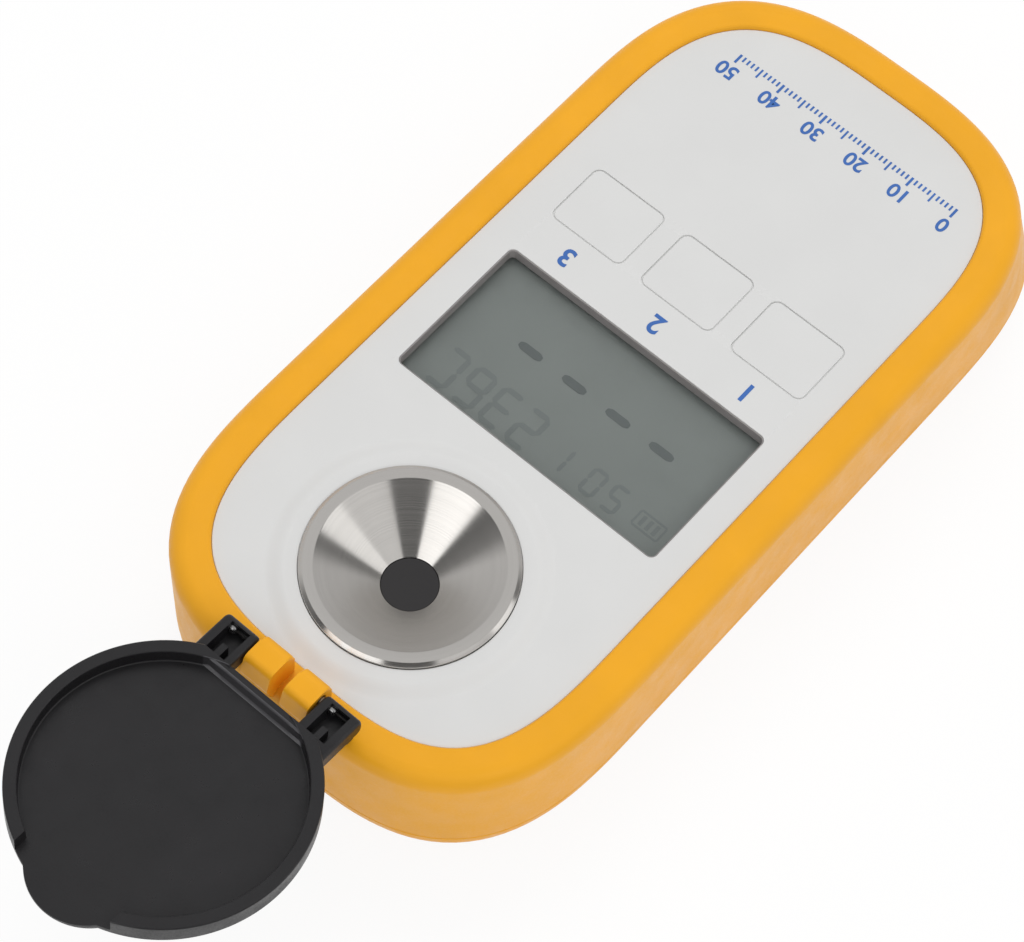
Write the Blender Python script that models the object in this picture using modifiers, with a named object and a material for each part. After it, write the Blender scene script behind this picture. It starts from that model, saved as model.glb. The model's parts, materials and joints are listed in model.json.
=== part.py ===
"""Digital pocket refractometer: a handheld casing with a display, three keys, a steel sample
well over its optics, and a flip lid on two hinge arms, shown open.

Frame: the back face lies on Z = 0 with the origin at its centre, +Z comes out of the panel,
+Y points at the hinged end and +X is the reader's right. Lengths are in metres."""

import math

import bmesh
import bpy
from mathutils import Matrix, Vector

MM = 0.001

# Overall sizes
PANEL_LENGTH = 106.36 * MM
RIM_WIDTH = 5.0 * MM
BACK_OVERHANG = 3.0 * MM
PANEL_TOP = 20.3 * MM
CLEARANCE = 0.3 * MM
OVERRUN = 1.0 * MM

# Shape of the rounded ends: length of the rounded stretch and how square its corners are
NEAR_ROUND = 27.1 * MM
FAR_ROUND = 24.96 * MM
NEAR_SQUARENESS_SHARE = 3.37
FAR_SQUARENESS_SHARE = 3.15
BACK_SQUARENESS_SHARE = 3.7

# Casing section
RIM_CROWN = 0.7 * MM
RIM_EDGE_RADIUS = 2.2 * MM
RIM_INNER_ROUND = 0.35 * MM
CASE_WALL = 2.0 * MM
PANEL_THICKNESS = 2.0 * MM
PANEL_EDGE_ROUND = 0.15 * MM
LEDGE_WIDTH = 1.2 * MM
LEDGE_THICKNESS = 1.2 * MM
SEAM_HEIGHT = 5.2 * MM
BACK_EDGE_RADIUS = 5.0 * MM
BACK_WALL = 2.6 * MM
LIP_WIDTH = 1.2 * MM
LIP_HEIGHT = 2.8 * MM
GASKET_WIDTH = 0.6 * MM
GASKET_HEIGHT = 1.2 * MM

# Sample well
WELL_FROM_NEAR_END = 17.44 * MM
WELL_RADIUS = 12.79 * MM
WELL_STANDS_OUT = 1.14 * MM
WELL_BEVEL = 0.12 * MM
CONE_TOP_RADIUS = 11.16 * MM
CONE_FLOOR_RADIUS = 3.48 * MM
CONE_DEPTH = 5.47 * MM
WELL_WALL = 1.45 * MM
CONE_WALL = 1.6 * MM
WELL_FLOOR = 1.2 * MM
SEAT_WIDTH = 1.9 * MM
FLANGE_WIDTH = 2.2 * MM
FLANGE_THICKNESS = 1.2 * MM
WELL_SEAL_THICKNESS = 0.6 * MM
BOSS_RADIUS = 16.0 * MM
BOSS_HEIGHT = 0.75 * MM
BOSS_FLANK = 1.5 * MM

# Display
DISPLAY_FROM_WELL = 29.96 * MM
DISPLAY_OFF_CENTRE = -0.29 * MM
DISPLAY_WIDTH = 39.24 * MM
DISPLAY_DEPTH = 20.84 * MM
DISPLAY_SIDE_MARGIN = 4.38 * MM
DISPLAY_CORNER = 0.7 * MM
DISPLAY_LIP = 0.5 * MM
DISPLAY_SURROUND = 1.5 * MM
DISPLAY_SEAL_THICKNESS = 0.6 * MM
WINDOW_THICKNESS = 0.5 * MM
GLASS_THICKNESS = 1.5 * MM
GLASS_SURROUND = 0.9 * MM
FRAME_WALL = 1.0 * MM
STRIP_WIDTH = 1.6 * MM
STRIP_INSET = 0.6 * MM

# Keys and their switches
KEYS_FROM_WELL = 51.74 * MM
KEY_WIDTH = 10.8 * MM
KEY_DEPTH = 9.05 * MM
KEY_CORNER = 1.0 * MM
KEY_PITCH = 14.0 * MM
KEYS_OFF_CENTRE = -0.35 * MM
KEY_FLANGE = 0.9 * MM
KEY_FLANGE_THICKNESS = 0.6 * MM
KEY_TRAVEL = 0.4 * MM
SWITCH_SIZE = 6.0 * MM
SWITCH_HEIGHT = 1.4 * MM
SWITCH_FLOOR = 0.2 * MM
PLUNGER_RADIUS = 1.6 * MM

# Circuit board
BOARD_THICKNESS = 1.0 * MM
BOARD_SIDE_GAP = 2.0 * MM
BOARD_BELOW_PANEL = 3.5 * MM
BOARD_CORNER = 2.0 * MM
BOARD_PAST_DISPLAY = 0.6 * MM
BOARD_PAST_KEYS = 29.0 * MM
CHIP_SIZE = 9.0 * MM
CHIP_HEIGHT = 1.2 * MM
CHIP_FROM_KEYS = 14.0 * MM
BOARD_SCREW_FROM_SIDE = 3.5 * MM
BOARD_SCREWS_FROM_KEYS = (8.0 * MM, 26.0 * MM)
POST_RADIUS = 2.1 * MM

# Optics
OPTICS_WIDTH = 16.0 * MM
OPTICS_FLOOR = 2.9 * MM
OPTICS_TO_SENSOR = 13.0 * MM
OPTICS_TO_LAMP = 13.3 * MM
OPTICS_PLATE = 2.0 * MM
EAR_REACH = 17.4 * MM
EAR_ANGLE = math.radians(38.7)
PRISM_WIDTH = 10.0 * MM
PRISM_LENGTH = 12.0 * MM
PRISM_BASE_LENGTH = 6.0 * MM
PRISM_HEIGHT = 5.1 * MM
PRISM_BELOW_FLOOR = 0.1 * MM
PRISM_SEAL_THICKNESS = 0.6 * MM
LIGHT_PATH_HEIGHT = 7.6 * MM
LIGHT_PATH_WIDTH = 7.6 * MM
LIGHT_PATH_FLOOR = 1.7 * MM
LENS_THICKNESS = 1.4 * MM
LENS_BULGE = 0.5 * MM
LENS_FROM_PRISM = 1.0 * MM
LAMP_RADIUS = 1.5 * MM
LAMP_LENGTH = 4.4 * MM
LAMP_FLANGE = 0.4 * MM
LAMP_FLANGE_THICKNESS = 0.8 * MM
SENSOR_WIDTH = 10.0 * MM
SENSOR_HEIGHT = 3.0 * MM
SENSOR_DEPTH = 1.3 * MM
SENSOR_WINDOW_WIDTH = 7.0 * MM
SENSOR_BOARD_WIDTH = 14.0 * MM
SENSOR_BOARD_HEIGHT = 9.0 * MM
SENSOR_BOARD_THICKNESS = 1.0 * MM
RIBBON_WIDTH = 8.0 * MM
RIBBON_THICKNESS = 0.3 * MM
RIBBON_ON_BOARD = 3.0 * MM
RIBBON_DROP = 4.0 * MM
PROBE_RADIUS = 0.6 * MM
PROBE_FROM_CENTRE = 8.5 * MM
PROBE_STEM_RADIUS = 0.4 * MM

# Battery and its compartment
BATTERY_RADIUS = 5.25 * MM
BATTERY_LENGTH = 43.7 * MM
BATTERY_NUB_RADIUS = 1.9 * MM
BATTERY_NUB = 0.8 * MM
BATTERY_EDGE = 0.4 * MM
BAY_WALL = 0.8 * MM
BAY_FROM_FAR_END = 5.2 * MM
SPRING_LENGTH = 2.0 * MM
SPRING_WIRE_RADIUS = 0.25 * MM
SPRING_RADIUS = 3.2 * MM
SPRING_TIP_RADIUS = 1.6 * MM
SPRING_TURNS = 3
CONTACT_THICKNESS = 0.4 * MM
CONTACT_WIDTH = 8.0 * MM
CONTACT_TAB_WIDTH = 3.0 * MM
CONTACT_HEIGHT = 7.0 * MM
APERTURE_SHORTFALL = 0.5 * MM
LEAD_RADIUS = 0.5 * MM
LEAD_ARCH = 1.2 * MM
LEAD_ON_BOARD = 2.5 * MM

# Battery cover
DOOR_WIDTH = 24.0 * MM
DOOR_THICKNESS = 1.6 * MM
DOOR_TONGUE = 0.8 * MM
DOOR_TONGUE_THICKNESS = 0.7 * MM
DOOR_PAST_BAY = 1.6 * MM
DOOR_CORNER = 1.5 * MM
GRIP_COUNT = 5
GRIP_PITCH = 1.8 * MM
GRIP_WIDTH = 0.8 * MM
GRIP_DEPTH = 0.4 * MM
GRIP_LENGTH = 12.0 * MM
GRIP_FROM_EDGE = 4.0 * MM

# Screws
SCREW_RADIUS = 0.8 * MM
SCREW_HEAD_RADIUS = 1.6 * MM
SCREW_HEAD_HEIGHT = 1.3 * MM
SHORT_SCREW_LENGTH = 4.6 * MM
CASE_SCREW_RADIUS = 1.0 * MM
CASE_SCREW_HEAD_RADIUS = 1.9 * MM
CASE_SCREW_HEAD_HEIGHT = 1.5 * MM
CASE_SCREW_LENGTH = 10.0 * MM
CASE_SCREW_SINK = 1.0 * MM
CASE_POST_RADIUS = 2.8 * MM
CASE_POST_GAP = 7.7 * MM
CASE_POST_LEAN = 3.0 * MM
NEAR_SCREW_FROM_SIDE = 4.2 * MM
NEAR_SCREW_FROM_END = 13.68 * MM
FAR_SCREW_FROM_SIDE = 6.5 * MM
FAR_SCREW_FROM_END = 10.2 * MM
CROSS_WIDTH = 0.5 * MM
CROSS_DEPTH = 0.7 * MM

# Hinge
AXIS_FROM_WELL = 20.17 * MM
AXIS_ABOVE_PANEL = 3.7 * MM
OPEN_ANGLE = math.radians(174.9)
PIN_RADIUS = 0.6 * MM
PIN_CLEARANCE = 0.2 * MM
KNUCKLE_NEAR_REACH = 2.25 * MM
KNUCKLE_FAR_REACH = 1.8 * MM
KNUCKLE_RISE = 1.6 * MM
KNUCKLE_CORNER = 0.75 * MM
KNUCKLE_GAP = 1.9 * MM
KNUCKLE_WIDTH = 3.7 * MM
ARM_WIDTH = 5.15 * MM
ARM_THICKNESS = 2.52 * MM
ARM_PAST_AXIS = 1.15 * MM
ARM_ROUND = 0.9 * MM
ARM_ON_LID = 3.0 * MM
ARM_SIDE_ROUND = 0.5 * MM
POCKET_WIDTH = 3.0 * MM
POCKET_PAST_AXIS = 0.55 * MM
POCKET_LENGTH = 4.4 * MM
POCKET_DEPTH = 1.95 * MM
PIN_END_WALL = 0.3 * MM
HEEL_LENGTH = 1.0 * MM
HEEL_PAST_AXIS = 0.2 * MM

# Lid, in its closed place over the well
LID_RADIUS = 17.29 * MM
LID_RIM_WIDTH = 1.55 * MM
LID_ABOVE_PANEL = 0.25 * MM
LID_HEIGHT = 3.15 * MM
LID_TOP_THICKNESS = 1.2 * MM
LID_EDGE_ROUND = 0.5 * MM
LID_CHORD_DEPTH = 1.59 * MM
CHORD_RIB_DEPTH = 2.55 * MM
CHORD_RIB_WIDTH = 0.85 * MM
CHORD_RIB_HALF_LENGTH = 8.5 * MM
CHORD_STRIP_WIDTH = 1.13 * MM
TAB_WIDTH = 11.6 * MM
TAB_OFF_CENTRE = -0.4 * MM
TAB_REACH = 1.6 * MM
TAB_ROOT = 9.0 * MM
TAB_EDGE_THICKNESS = 0.6 * MM
TAB_CORNER = 5.2 * MM
TAB_SINK = 0.15 * MM
TAB_NOTCH = 1.0 * MM
SKIRT_OPENING = 3.2 * MM

# How finely round shapes are cut
END_STEPS = 9
EDGE_STEPS = 4
ROUND_SIDES = 40
SMALL_SIDES = 12
CORNER_STEPS = 3
SPRING_STEPS = 12
LENS_STEPS = 3
SHARP_ANGLE = math.radians(35)
MERGE = 0.01 * MM

# Parts whose thin flat faces the exact solver leaves open
MANIFOLD_PARTS = ("front_panel", "lid")

# Outline of the casing
PANEL_WIDTH = DISPLAY_WIDTH + 2 * DISPLAY_SIDE_MARGIN
CASE_LENGTH = PANEL_LENGTH + 2 * RIM_WIDTH + BACK_OVERHANG
PANEL_NEAR = CASE_LENGTH / 2 - RIM_WIDTH
PANEL_FAR = PANEL_NEAR - PANEL_LENGTH
CASE_FAR = -CASE_LENGTH / 2
NEAR_START = PANEL_NEAR - NEAR_ROUND
FAR_START = PANEL_FAR + FAR_ROUND
CASE_HALF_WIDTH = PANEL_WIDTH / 2 + RIM_WIDTH

# Heights, from the panel down
PANEL_BOTTOM = PANEL_TOP - PANEL_THICKNESS
LEDGE_TOP = PANEL_BOTTOM - CLEARANCE
LEDGE_BOTTOM = LEDGE_TOP - LEDGE_THICKNESS
FRAME_BOTTOM = SEAM_HEIGHT + CLEARANCE
RIM_TOP = PANEL_TOP + RIM_CROWN
FLARE_TOP = RIM_TOP - RIM_EDGE_RADIUS
BOARD_TOP = PANEL_BOTTOM - BOARD_BELOW_PANEL
BOARD_BOTTOM = BOARD_TOP - BOARD_THICKNESS
POST_BOTTOM = BOARD_TOP + CLEARANCE
WELL_Y = PANEL_NEAR - WELL_FROM_NEAR_END
DISPLAY_Y = WELL_Y - DISPLAY_FROM_WELL
KEYS_Y = WELL_Y - KEYS_FROM_WELL
AXIS_Y = WELL_Y + AXIS_FROM_WELL
AXIS_Z = PANEL_TOP + AXIS_ABOVE_PANEL
ARM_INNER = KNUCKLE_GAP / 2 + KNUCKLE_WIDTH + CLEARANCE
ARM_OUTER = ARM_INNER + ARM_WIDTH
WELL_TOP = PANEL_TOP + WELL_STANDS_OUT
CONE_FLOOR = WELL_TOP - CONE_DEPTH
WELL_BOTTOM = CONE_FLOOR - WELL_FLOOR
FLANGE_TOP = PANEL_BOTTOM - WELL_SEAL_THICKNESS - 2 * CLEARANCE
FLANGE_BOTTOM = FLANGE_TOP - FLANGE_THICKNESS
FLANGE_RADIUS = WELL_RADIUS + FLANGE_WIDTH
OPTICS_TOP = FLANGE_BOTTOM - CLEARANCE
PRISM_SHOULDER = WELL_BOTTOM - PRISM_SEAL_THICKNESS - 2 * CLEARANCE
PRISM_BOTTOM = PRISM_SHOULDER - PRISM_HEIGHT
LIGHT_Z = OPTICS_FLOOR + LIGHT_PATH_FLOOR + LIGHT_PATH_HEIGHT / 2
NEAR_SCREW_X = PANEL_WIDTH / 2 - NEAR_SCREW_FROM_SIDE
FAR_SCREW_X = PANEL_WIDTH / 2 - FAR_SCREW_FROM_SIDE
SCREW_PLACES = [(side * NEAR_SCREW_X, CASE_LENGTH / 2 - NEAR_SCREW_FROM_END) for side in (-1, 1)]
SCREW_PLACES += [(side * FAR_SCREW_X, CASE_FAR + FAR_SCREW_FROM_END) for side in (-1, 1)]
BOARD_WIDTH = PANEL_WIDTH - 2 * BOARD_SIDE_GAP
BOARD_SCREW_X = BOARD_WIDTH / 2 - BOARD_SCREW_FROM_SIDE
BOARD_SCREW_PLACES = [(side * BOARD_SCREW_X, KEYS_Y - away)
                      for side in (-1, 1) for away in BOARD_SCREWS_FROM_KEYS]
EAR_PLACES = [(side * EAR_REACH * math.cos(EAR_ANGLE), WELL_Y + end * EAR_REACH * math.sin(EAR_ANGLE))
              for side in (-1, 1) for end in (-1, 1)]
BAY_HALF_WIDTH = BATTERY_RADIUS + CLEARANCE
BAY_FAR = CASE_FAR + BAY_FROM_FAR_END
BAY_LENGTH = BATTERY_LENGTH + BATTERY_NUB + SPRING_LENGTH + 2 * CONTACT_THICKNESS + 5 * CLEARANCE
BAY_NEAR = BAY_FAR + BAY_LENGTH
BATTERY_Z = DOOR_THICKNESS + CLEARANCE + BATTERY_RADIUS
BAY_TOP = BATTERY_Z + BATTERY_RADIUS + CLEARANCE
DOOR_NEAR = BAY_NEAR + DOOR_PAST_BAY


def start_clean():
    """Removes what the scene holds and makes the two collections."""
    for obj in list(bpy.data.objects):
        bpy.data.objects.remove(obj, do_unlink=True)
    for name in ("digital_pocket_refractometer", "cutters"):
        bpy.context.scene.collection.children.link(bpy.data.collections.new(name))


def material(name, colour, roughness, metallic=0.0, transmission=0.0):
    """A Principled material of one colour."""
    made = bpy.data.materials.new(name)
    made.use_nodes = True
    shader = made.node_tree.nodes["Principled BSDF"]
    shader.inputs["Base Color"].default_value = (*colour, 1.0)
    shader.inputs["Roughness"].default_value = roughness
    shader.inputs["Metallic"].default_value = metallic
    shader.inputs["Transmission Weight"].default_value = transmission
    made.diffuse_color = (*colour, 1.0)
    return made


def place(name, mesh, finish=None, location=(0, 0, 0)):
    """A named object: with a finish it is a part, without one a cutter or an addition."""
    obj = bpy.data.objects.new(name, mesh)
    obj.location = location
    if finish is None:
        bpy.data.collections["cutters"].objects.link(obj)
        obj.hide_render = True
        obj.display_type = "WIRE"
    else:
        bpy.data.collections["digital_pocket_refractometer"].objects.link(obj)
        mesh.materials.append(finish)
    return obj


def mesh_from(bm, name, smooth=True):
    """A mesh from the bmesh, with its faces pointing out."""
    bmesh.ops.recalc_face_normals(bm, faces=bm.faces)
    mesh = bpy.data.meshes.new(name)
    bm.to_mesh(mesh)
    bm.free()
    if smooth:
        mesh.shade_smooth()
        mesh.set_sharp_from_angle(angle=SHARP_ANGLE)
    return mesh


def boolean(target, tool, operation):
    """Cuts the target by the tool, or joins the tool to it."""
    step = target.modifiers.new(tool.name, "BOOLEAN")
    step.operation = operation
    step.object = tool
    if target.name in MANIFOLD_PARTS:
        step.solver = "MANIFOLD"


def cut(target, *tools):
    """Cuts the target by each tool in turn."""
    for tool in tools:
        boolean(target, tool, "DIFFERENCE")


def join(target, *tools):
    """Joins each tool to the target in turn."""
    for tool in tools:
        boolean(target, tool, "UNION")


def box(name, low, high, finish=None, corner=0, edges="Z", steps=CORNER_STEPS, location=(0, 0, 0)):
    """A box between two corners, with the edges along one axis rounded."""
    low, high = Vector(low), Vector(high)
    bm = bmesh.new()
    bmesh.ops.create_cube(bm, size=1, matrix=Matrix.Translation((low + high) / 2)
                          @ Matrix.Diagonal((*(high - low), 1)))
    if corner:
        axis = "XYZ".index(edges)
        along = [edge for edge in bm.edges
                 if abs((edge.verts[0].co - edge.verts[1].co)[axis]) > MERGE]
        bmesh.ops.bevel(bm, geom=along, offset=corner, segments=steps, profile=0.5, affect="EDGES")
    return place(name, mesh_from(bm, name), finish, location)


def centred_box(name, centre, size, low, high, finish=None, corner=0):
    """A box of this width and depth round a centre, from one height to another."""
    half = (size[0] / 2, size[1] / 2)
    return box(name, (centre[0] - half[0], centre[1] - half[1], low),
               (centre[0] + half[0], centre[1] + half[1], high), finish, corner)


def rod(name, start, end, radius, finish=None, sides=SMALL_SIDES):
    """A cylinder from one point to another."""
    start, end = Vector(start), Vector(end)
    turn = (end - start).to_track_quat("Z", "Y").to_matrix().to_4x4()
    bm = bmesh.new()
    bmesh.ops.create_cone(bm, cap_ends=True, segments=sides, radius1=radius, radius2=radius,
                          depth=(end - start).length,
                          matrix=Matrix.Translation((start + end) / 2) @ turn)
    return place(name, mesh_from(bm, name), finish)


def turned(name, profile, finish=None, centre=(0, 0, 0), closed=False, sides=ROUND_SIDES, turn=None):
    """A profile of radii and heights turned round the Z axis. It runs down its outer side."""
    mesh = bpy.data.meshes.new(name)
    edges = [(i, i + 1) for i in range(len(profile) - 1)]
    if closed:
        edges.append((len(profile) - 1, 0))
    mesh.from_pydata([(radius, 0, height) for radius, height in profile], edges, [])
    obj = place(name, mesh, finish, centre)
    if turn is not None:
        obj.rotation_euler = turn
    screw = obj.modifiers.new("turn", "SCREW")
    screw.steps = sides
    screw.render_steps = sides
    screw.use_merge_vertices = True
    screw.merge_threshold = MERGE
    screw.use_smooth_shade = True
    return obj


def copies(name, form, places, finish):
    """Numbered objects that share the evaluated form, one at each place."""
    graph = bpy.context.evaluated_depsgraph_get()
    shape = bpy.data.meshes.new_from_object(form.evaluated_get(graph))
    shape.materials.clear()
    shape.materials.append(finish)
    bpy.data.objects.remove(form, do_unlink=True)
    for index, spot in enumerate(places, 1):
        obj = bpy.data.objects.new(f"{name}_{index}", shape)
        obj.location = spot
        bpy.data.collections["digital_pocket_refractometer"].objects.link(obj)


def flare(z):
    """How far the casing has widened from its rim outline, 0, to its back outline, 1."""
    return min(max((FLARE_TOP - z) / (FLARE_TOP - SEAM_HEIGHT), 0), 1)


def round_end(angle, half_width, length, squareness, out):
    """A point of one rounded end, moved out along its normal. The angle is 0 at the +X side."""
    across, along = abs(math.cos(angle)), abs(math.sin(angle))
    reach = (across ** squareness + along ** squareness) ** (-1 / squareness)
    normal = Vector((across ** (squareness - 1) / half_width, along ** (squareness - 1) / length))
    normal.normalize()
    sign = math.copysign(1, math.cos(angle)) if across > MERGE else 0
    return (sign * (half_width * across * reach + out * normal.x), length * along * reach + out * normal.y)


def outline(inset, back=0.0):
    """The casing's outline, moved inwards by the inset, blended from the rim to the back."""
    out = RIM_WIDTH - inset
    points = []
    for step in range(2 * END_STEPS + 1):
        angle = math.pi * step / (2 * END_STEPS)
        x, y = round_end(angle, PANEL_WIDTH / 2, NEAR_ROUND, NEAR_SQUARENESS_SHARE, out)
        points.append((x, NEAR_START + y))
    for step in range(2 * END_STEPS + 1):
        angle = math.pi - math.pi * step / (2 * END_STEPS)
        x, y = round_end(angle, PANEL_WIDTH / 2, FAR_ROUND, FAR_SQUARENESS_SHARE, out)
        back_x, back_y = round_end(angle, CASE_HALF_WIDTH, FAR_START - CASE_FAR,
                                   BACK_SQUARENESS_SHARE, -inset)
        points.append((x + (back_x - x) * back, FAR_START - y + (y - back_y) * back))
    return points


def swept(name, profile, finish=None, closed=True):
    """A profile of insets and heights swept round the outline. An open one is capped flat."""
    bm = bmesh.new()
    rings = [[bm.verts.new((x, y, z)) for x, y in outline(inset, flare(z))] for inset, z in profile]
    pairs = list(zip(rings, rings[1:]))
    if closed:
        pairs.append((rings[-1], rings[0]))
    else:
        bm.faces.new(rings[0])
        bm.faces.new(rings[-1])
    for ring, following in pairs:
        for i in range(len(ring)):
            j = (i + 1) % len(ring)
            bm.faces.new((ring[i], ring[j], following[j], following[i]))
    return place(name, mesh_from(bm, name), finish)


def arc(centre, radius, start, end, steps):
    """Points of an arc between two angles in degrees, both ends included."""
    angles = [math.radians(start + (end - start) * step / steps) for step in range(steps + 1)]
    return [(centre[0] + radius * math.cos(a), centre[1] + radius * math.sin(a)) for a in angles]


def front_frame(finish):
    """The upper casing: crowned rim, side wall, panel ledge, screw posts and hinge knuckles."""
    edge = arc((RIM_EDGE_RADIUS, FLARE_TOP), RIM_EDGE_RADIUS, 180, 90, EDGE_STEPS)
    inner = RIM_WIDTH - CLEARANCE / 2
    rebate = CASE_WALL - GASKET_WIDTH - CLEARANCE
    profile = [(0, FRAME_BOTTOM), *edge,
               (inner - RIM_INNER_ROUND, RIM_TOP - RIM_INNER_ROUND / 2),
               (inner, PANEL_TOP - RIM_INNER_ROUND / 2),
               (inner, LEDGE_TOP),
               (inner + LEDGE_WIDTH, LEDGE_TOP),
               (inner + LEDGE_WIDTH, LEDGE_BOTTOM),
               (CASE_WALL, LEDGE_BOTTOM - CASE_WALL),
               (CASE_WALL, FRAME_BOTTOM + GASKET_HEIGHT + CLEARANCE),
               (rebate, FRAME_BOTTOM + GASKET_HEIGHT + CLEARANCE),
               (rebate, FRAME_BOTTOM)]
    frame = swept("front_frame", profile, finish)
    for index, (x, y) in enumerate(SCREW_PLACES):
        side = math.copysign(1, x)
        post = turned(f"frame_post_{index}", [(0, LEDGE_TOP), (CASE_POST_RADIUS, LEDGE_TOP),
                                              (CASE_POST_RADIUS, CASE_POST_GAP + CLEARANCE),
                                              (0, CASE_POST_GAP + CLEARANCE)],
                      centre=(x, y, 0), sides=SMALL_SIDES)
        web = box(f"frame_web_{index}", (x, y - LEDGE_THICKNESS / 2, LEDGE_BOTTOM - CASE_POST_LEAN),
                  (x + side * (CASE_POST_RADIUS + CASE_POST_LEAN), y + LEDGE_THICKNESS / 2,
                   LEDGE_TOP - LEDGE_THICKNESS / 2))
        join(frame, post, web)
        hole_top = CASE_SCREW_SINK + CASE_SCREW_HEAD_HEIGHT + CASE_SCREW_LENGTH + CLEARANCE
        cut(frame, rod(f"frame_hole_{index}", (x, y, CASE_POST_GAP - OVERRUN), (x, y, hole_top),
                       CASE_SCREW_RADIUS + CLEARANCE))
    for name, side in (("left", -1), ("right", 1)):
        ends = sorted((side * KNUCKLE_GAP / 2, side * (KNUCKLE_GAP / 2 + KNUCKLE_WIDTH)))
        join(frame, box(f"knuckle_{name}", (ends[0], AXIS_Y - KNUCKLE_FAR_REACH,
                                            PANEL_TOP - CASE_WALL - KNUCKLE_CORNER),
                        (ends[1], AXIS_Y + KNUCKLE_NEAR_REACH, AXIS_Z + KNUCKLE_RISE),
                        corner=KNUCKLE_CORNER, edges="X", steps=EDGE_STEPS))
        cut(frame, rod(f"knuckle_bore_{name}", (ends[0] - OVERRUN / 2, AXIS_Y, AXIS_Z),
                       (ends[1] + OVERRUN / 2, AXIS_Y, AXIS_Z), PIN_RADIUS + PIN_CLEARANCE))
    return frame


def rear_cover(finish):
    """The back shell: rounded edge, tongue, battery bay, door slot and screw bosses."""
    edge = arc((BACK_EDGE_RADIUS, BACK_EDGE_RADIUS), BACK_EDGE_RADIUS, 270, 180, EDGE_STEPS + 1)
    lip = CASE_WALL + CLEARANCE
    profile = [*edge, (0, SEAM_HEIGHT), (lip, SEAM_HEIGHT), (lip, SEAM_HEIGHT + LIP_HEIGHT),
               (lip + LIP_WIDTH, SEAM_HEIGHT + LIP_HEIGHT), (lip + LIP_WIDTH, SEAM_HEIGHT),
               (BACK_EDGE_RADIUS, BACK_WALL)]
    cover = swept("rear_cover", profile, finish, closed=False)
    for index, (x, y) in enumerate(SCREW_PLACES):
        boss = turned(f"cover_boss_{index}", [(0, CASE_POST_GAP), (CASE_POST_RADIUS, CASE_POST_GAP),
                                              (CASE_POST_RADIUS, BACK_WALL / 2), (0, BACK_WALL / 2)],
                      centre=(x, y, 0), sides=SMALL_SIDES)
        join(cover, boss)
        cut(cover, rod(f"cover_hole_{index}", (x, y, -OVERRUN), (x, y, CASE_POST_GAP + OVERRUN),
                       CASE_SCREW_RADIUS + CLEARANCE),
            rod(f"cover_sink_{index}", (x, y, -OVERRUN),
                (x, y, CASE_SCREW_SINK + CASE_SCREW_HEAD_HEIGHT + CLEARANCE),
                CASE_SCREW_HEAD_RADIUS + CLEARANCE, sides=2 * SMALL_SIDES))
    half = BAY_HALF_WIDTH
    bay = box("bay_walls", (-half - BAY_WALL, BAY_FAR - BAY_WALL, BACK_WALL / 2 + DOOR_THICKNESS / 2),
              (half + BAY_WALL, BAY_NEAR + BAY_WALL, BAY_TOP + BAY_WALL))
    join(cover, bay)
    slot_top = DOOR_THICKNESS + CLEARANCE
    mouth = BATTERY_RADIUS + CLEARANCE / 2
    tab = CONTACT_TAB_WIDTH / 2 + CLEARANCE
    tab_room = CONTACT_THICKNESS + 2 * CLEARANCE
    cut(cover, box("bay_space", (-half, BAY_FAR, BACK_WALL), (half, BAY_NEAR, BAY_TOP)),
        box("bay_mouth", (-mouth, BAY_FAR + APERTURE_SHORTFALL, -OVERRUN),
            (mouth, BAY_NEAR - APERTURE_SHORTFALL, BATTERY_Z)),
        box("bay_lead_hole", (-tab, BAY_FAR - CLEARANCE / 2, BATTERY_Z),
            (tab, BAY_FAR + tab_room, BAY_TOP + BAY_WALL + OVERRUN)),
        box("bay_tab_hole", (-tab, BAY_NEAR - tab_room, BATTERY_Z),
            (tab, BAY_NEAR + CLEARANCE / 2, BAY_TOP + BAY_WALL + OVERRUN)))
    width = DOOR_WIDTH / 2 + CLEARANCE
    tongue = width + DOOR_TONGUE
    cut(cover, box("door_slot", (-width, CASE_FAR - OVERRUN, -OVERRUN),
                   (width, DOOR_NEAR + CLEARANCE, slot_top)),
        box("door_rails", (-tongue, CASE_FAR - OVERRUN,
                           DOOR_THICKNESS - DOOR_TONGUE_THICKNESS - CLEARANCE),
            (tongue, DOOR_NEAR + CLEARANCE, slot_top)),
        box("door_end", (-width, CASE_FAR - OVERRUN, -OVERRUN),
            (width, CASE_FAR + lip, SEAM_HEIGHT + CLEARANCE)))
    return cover


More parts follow.
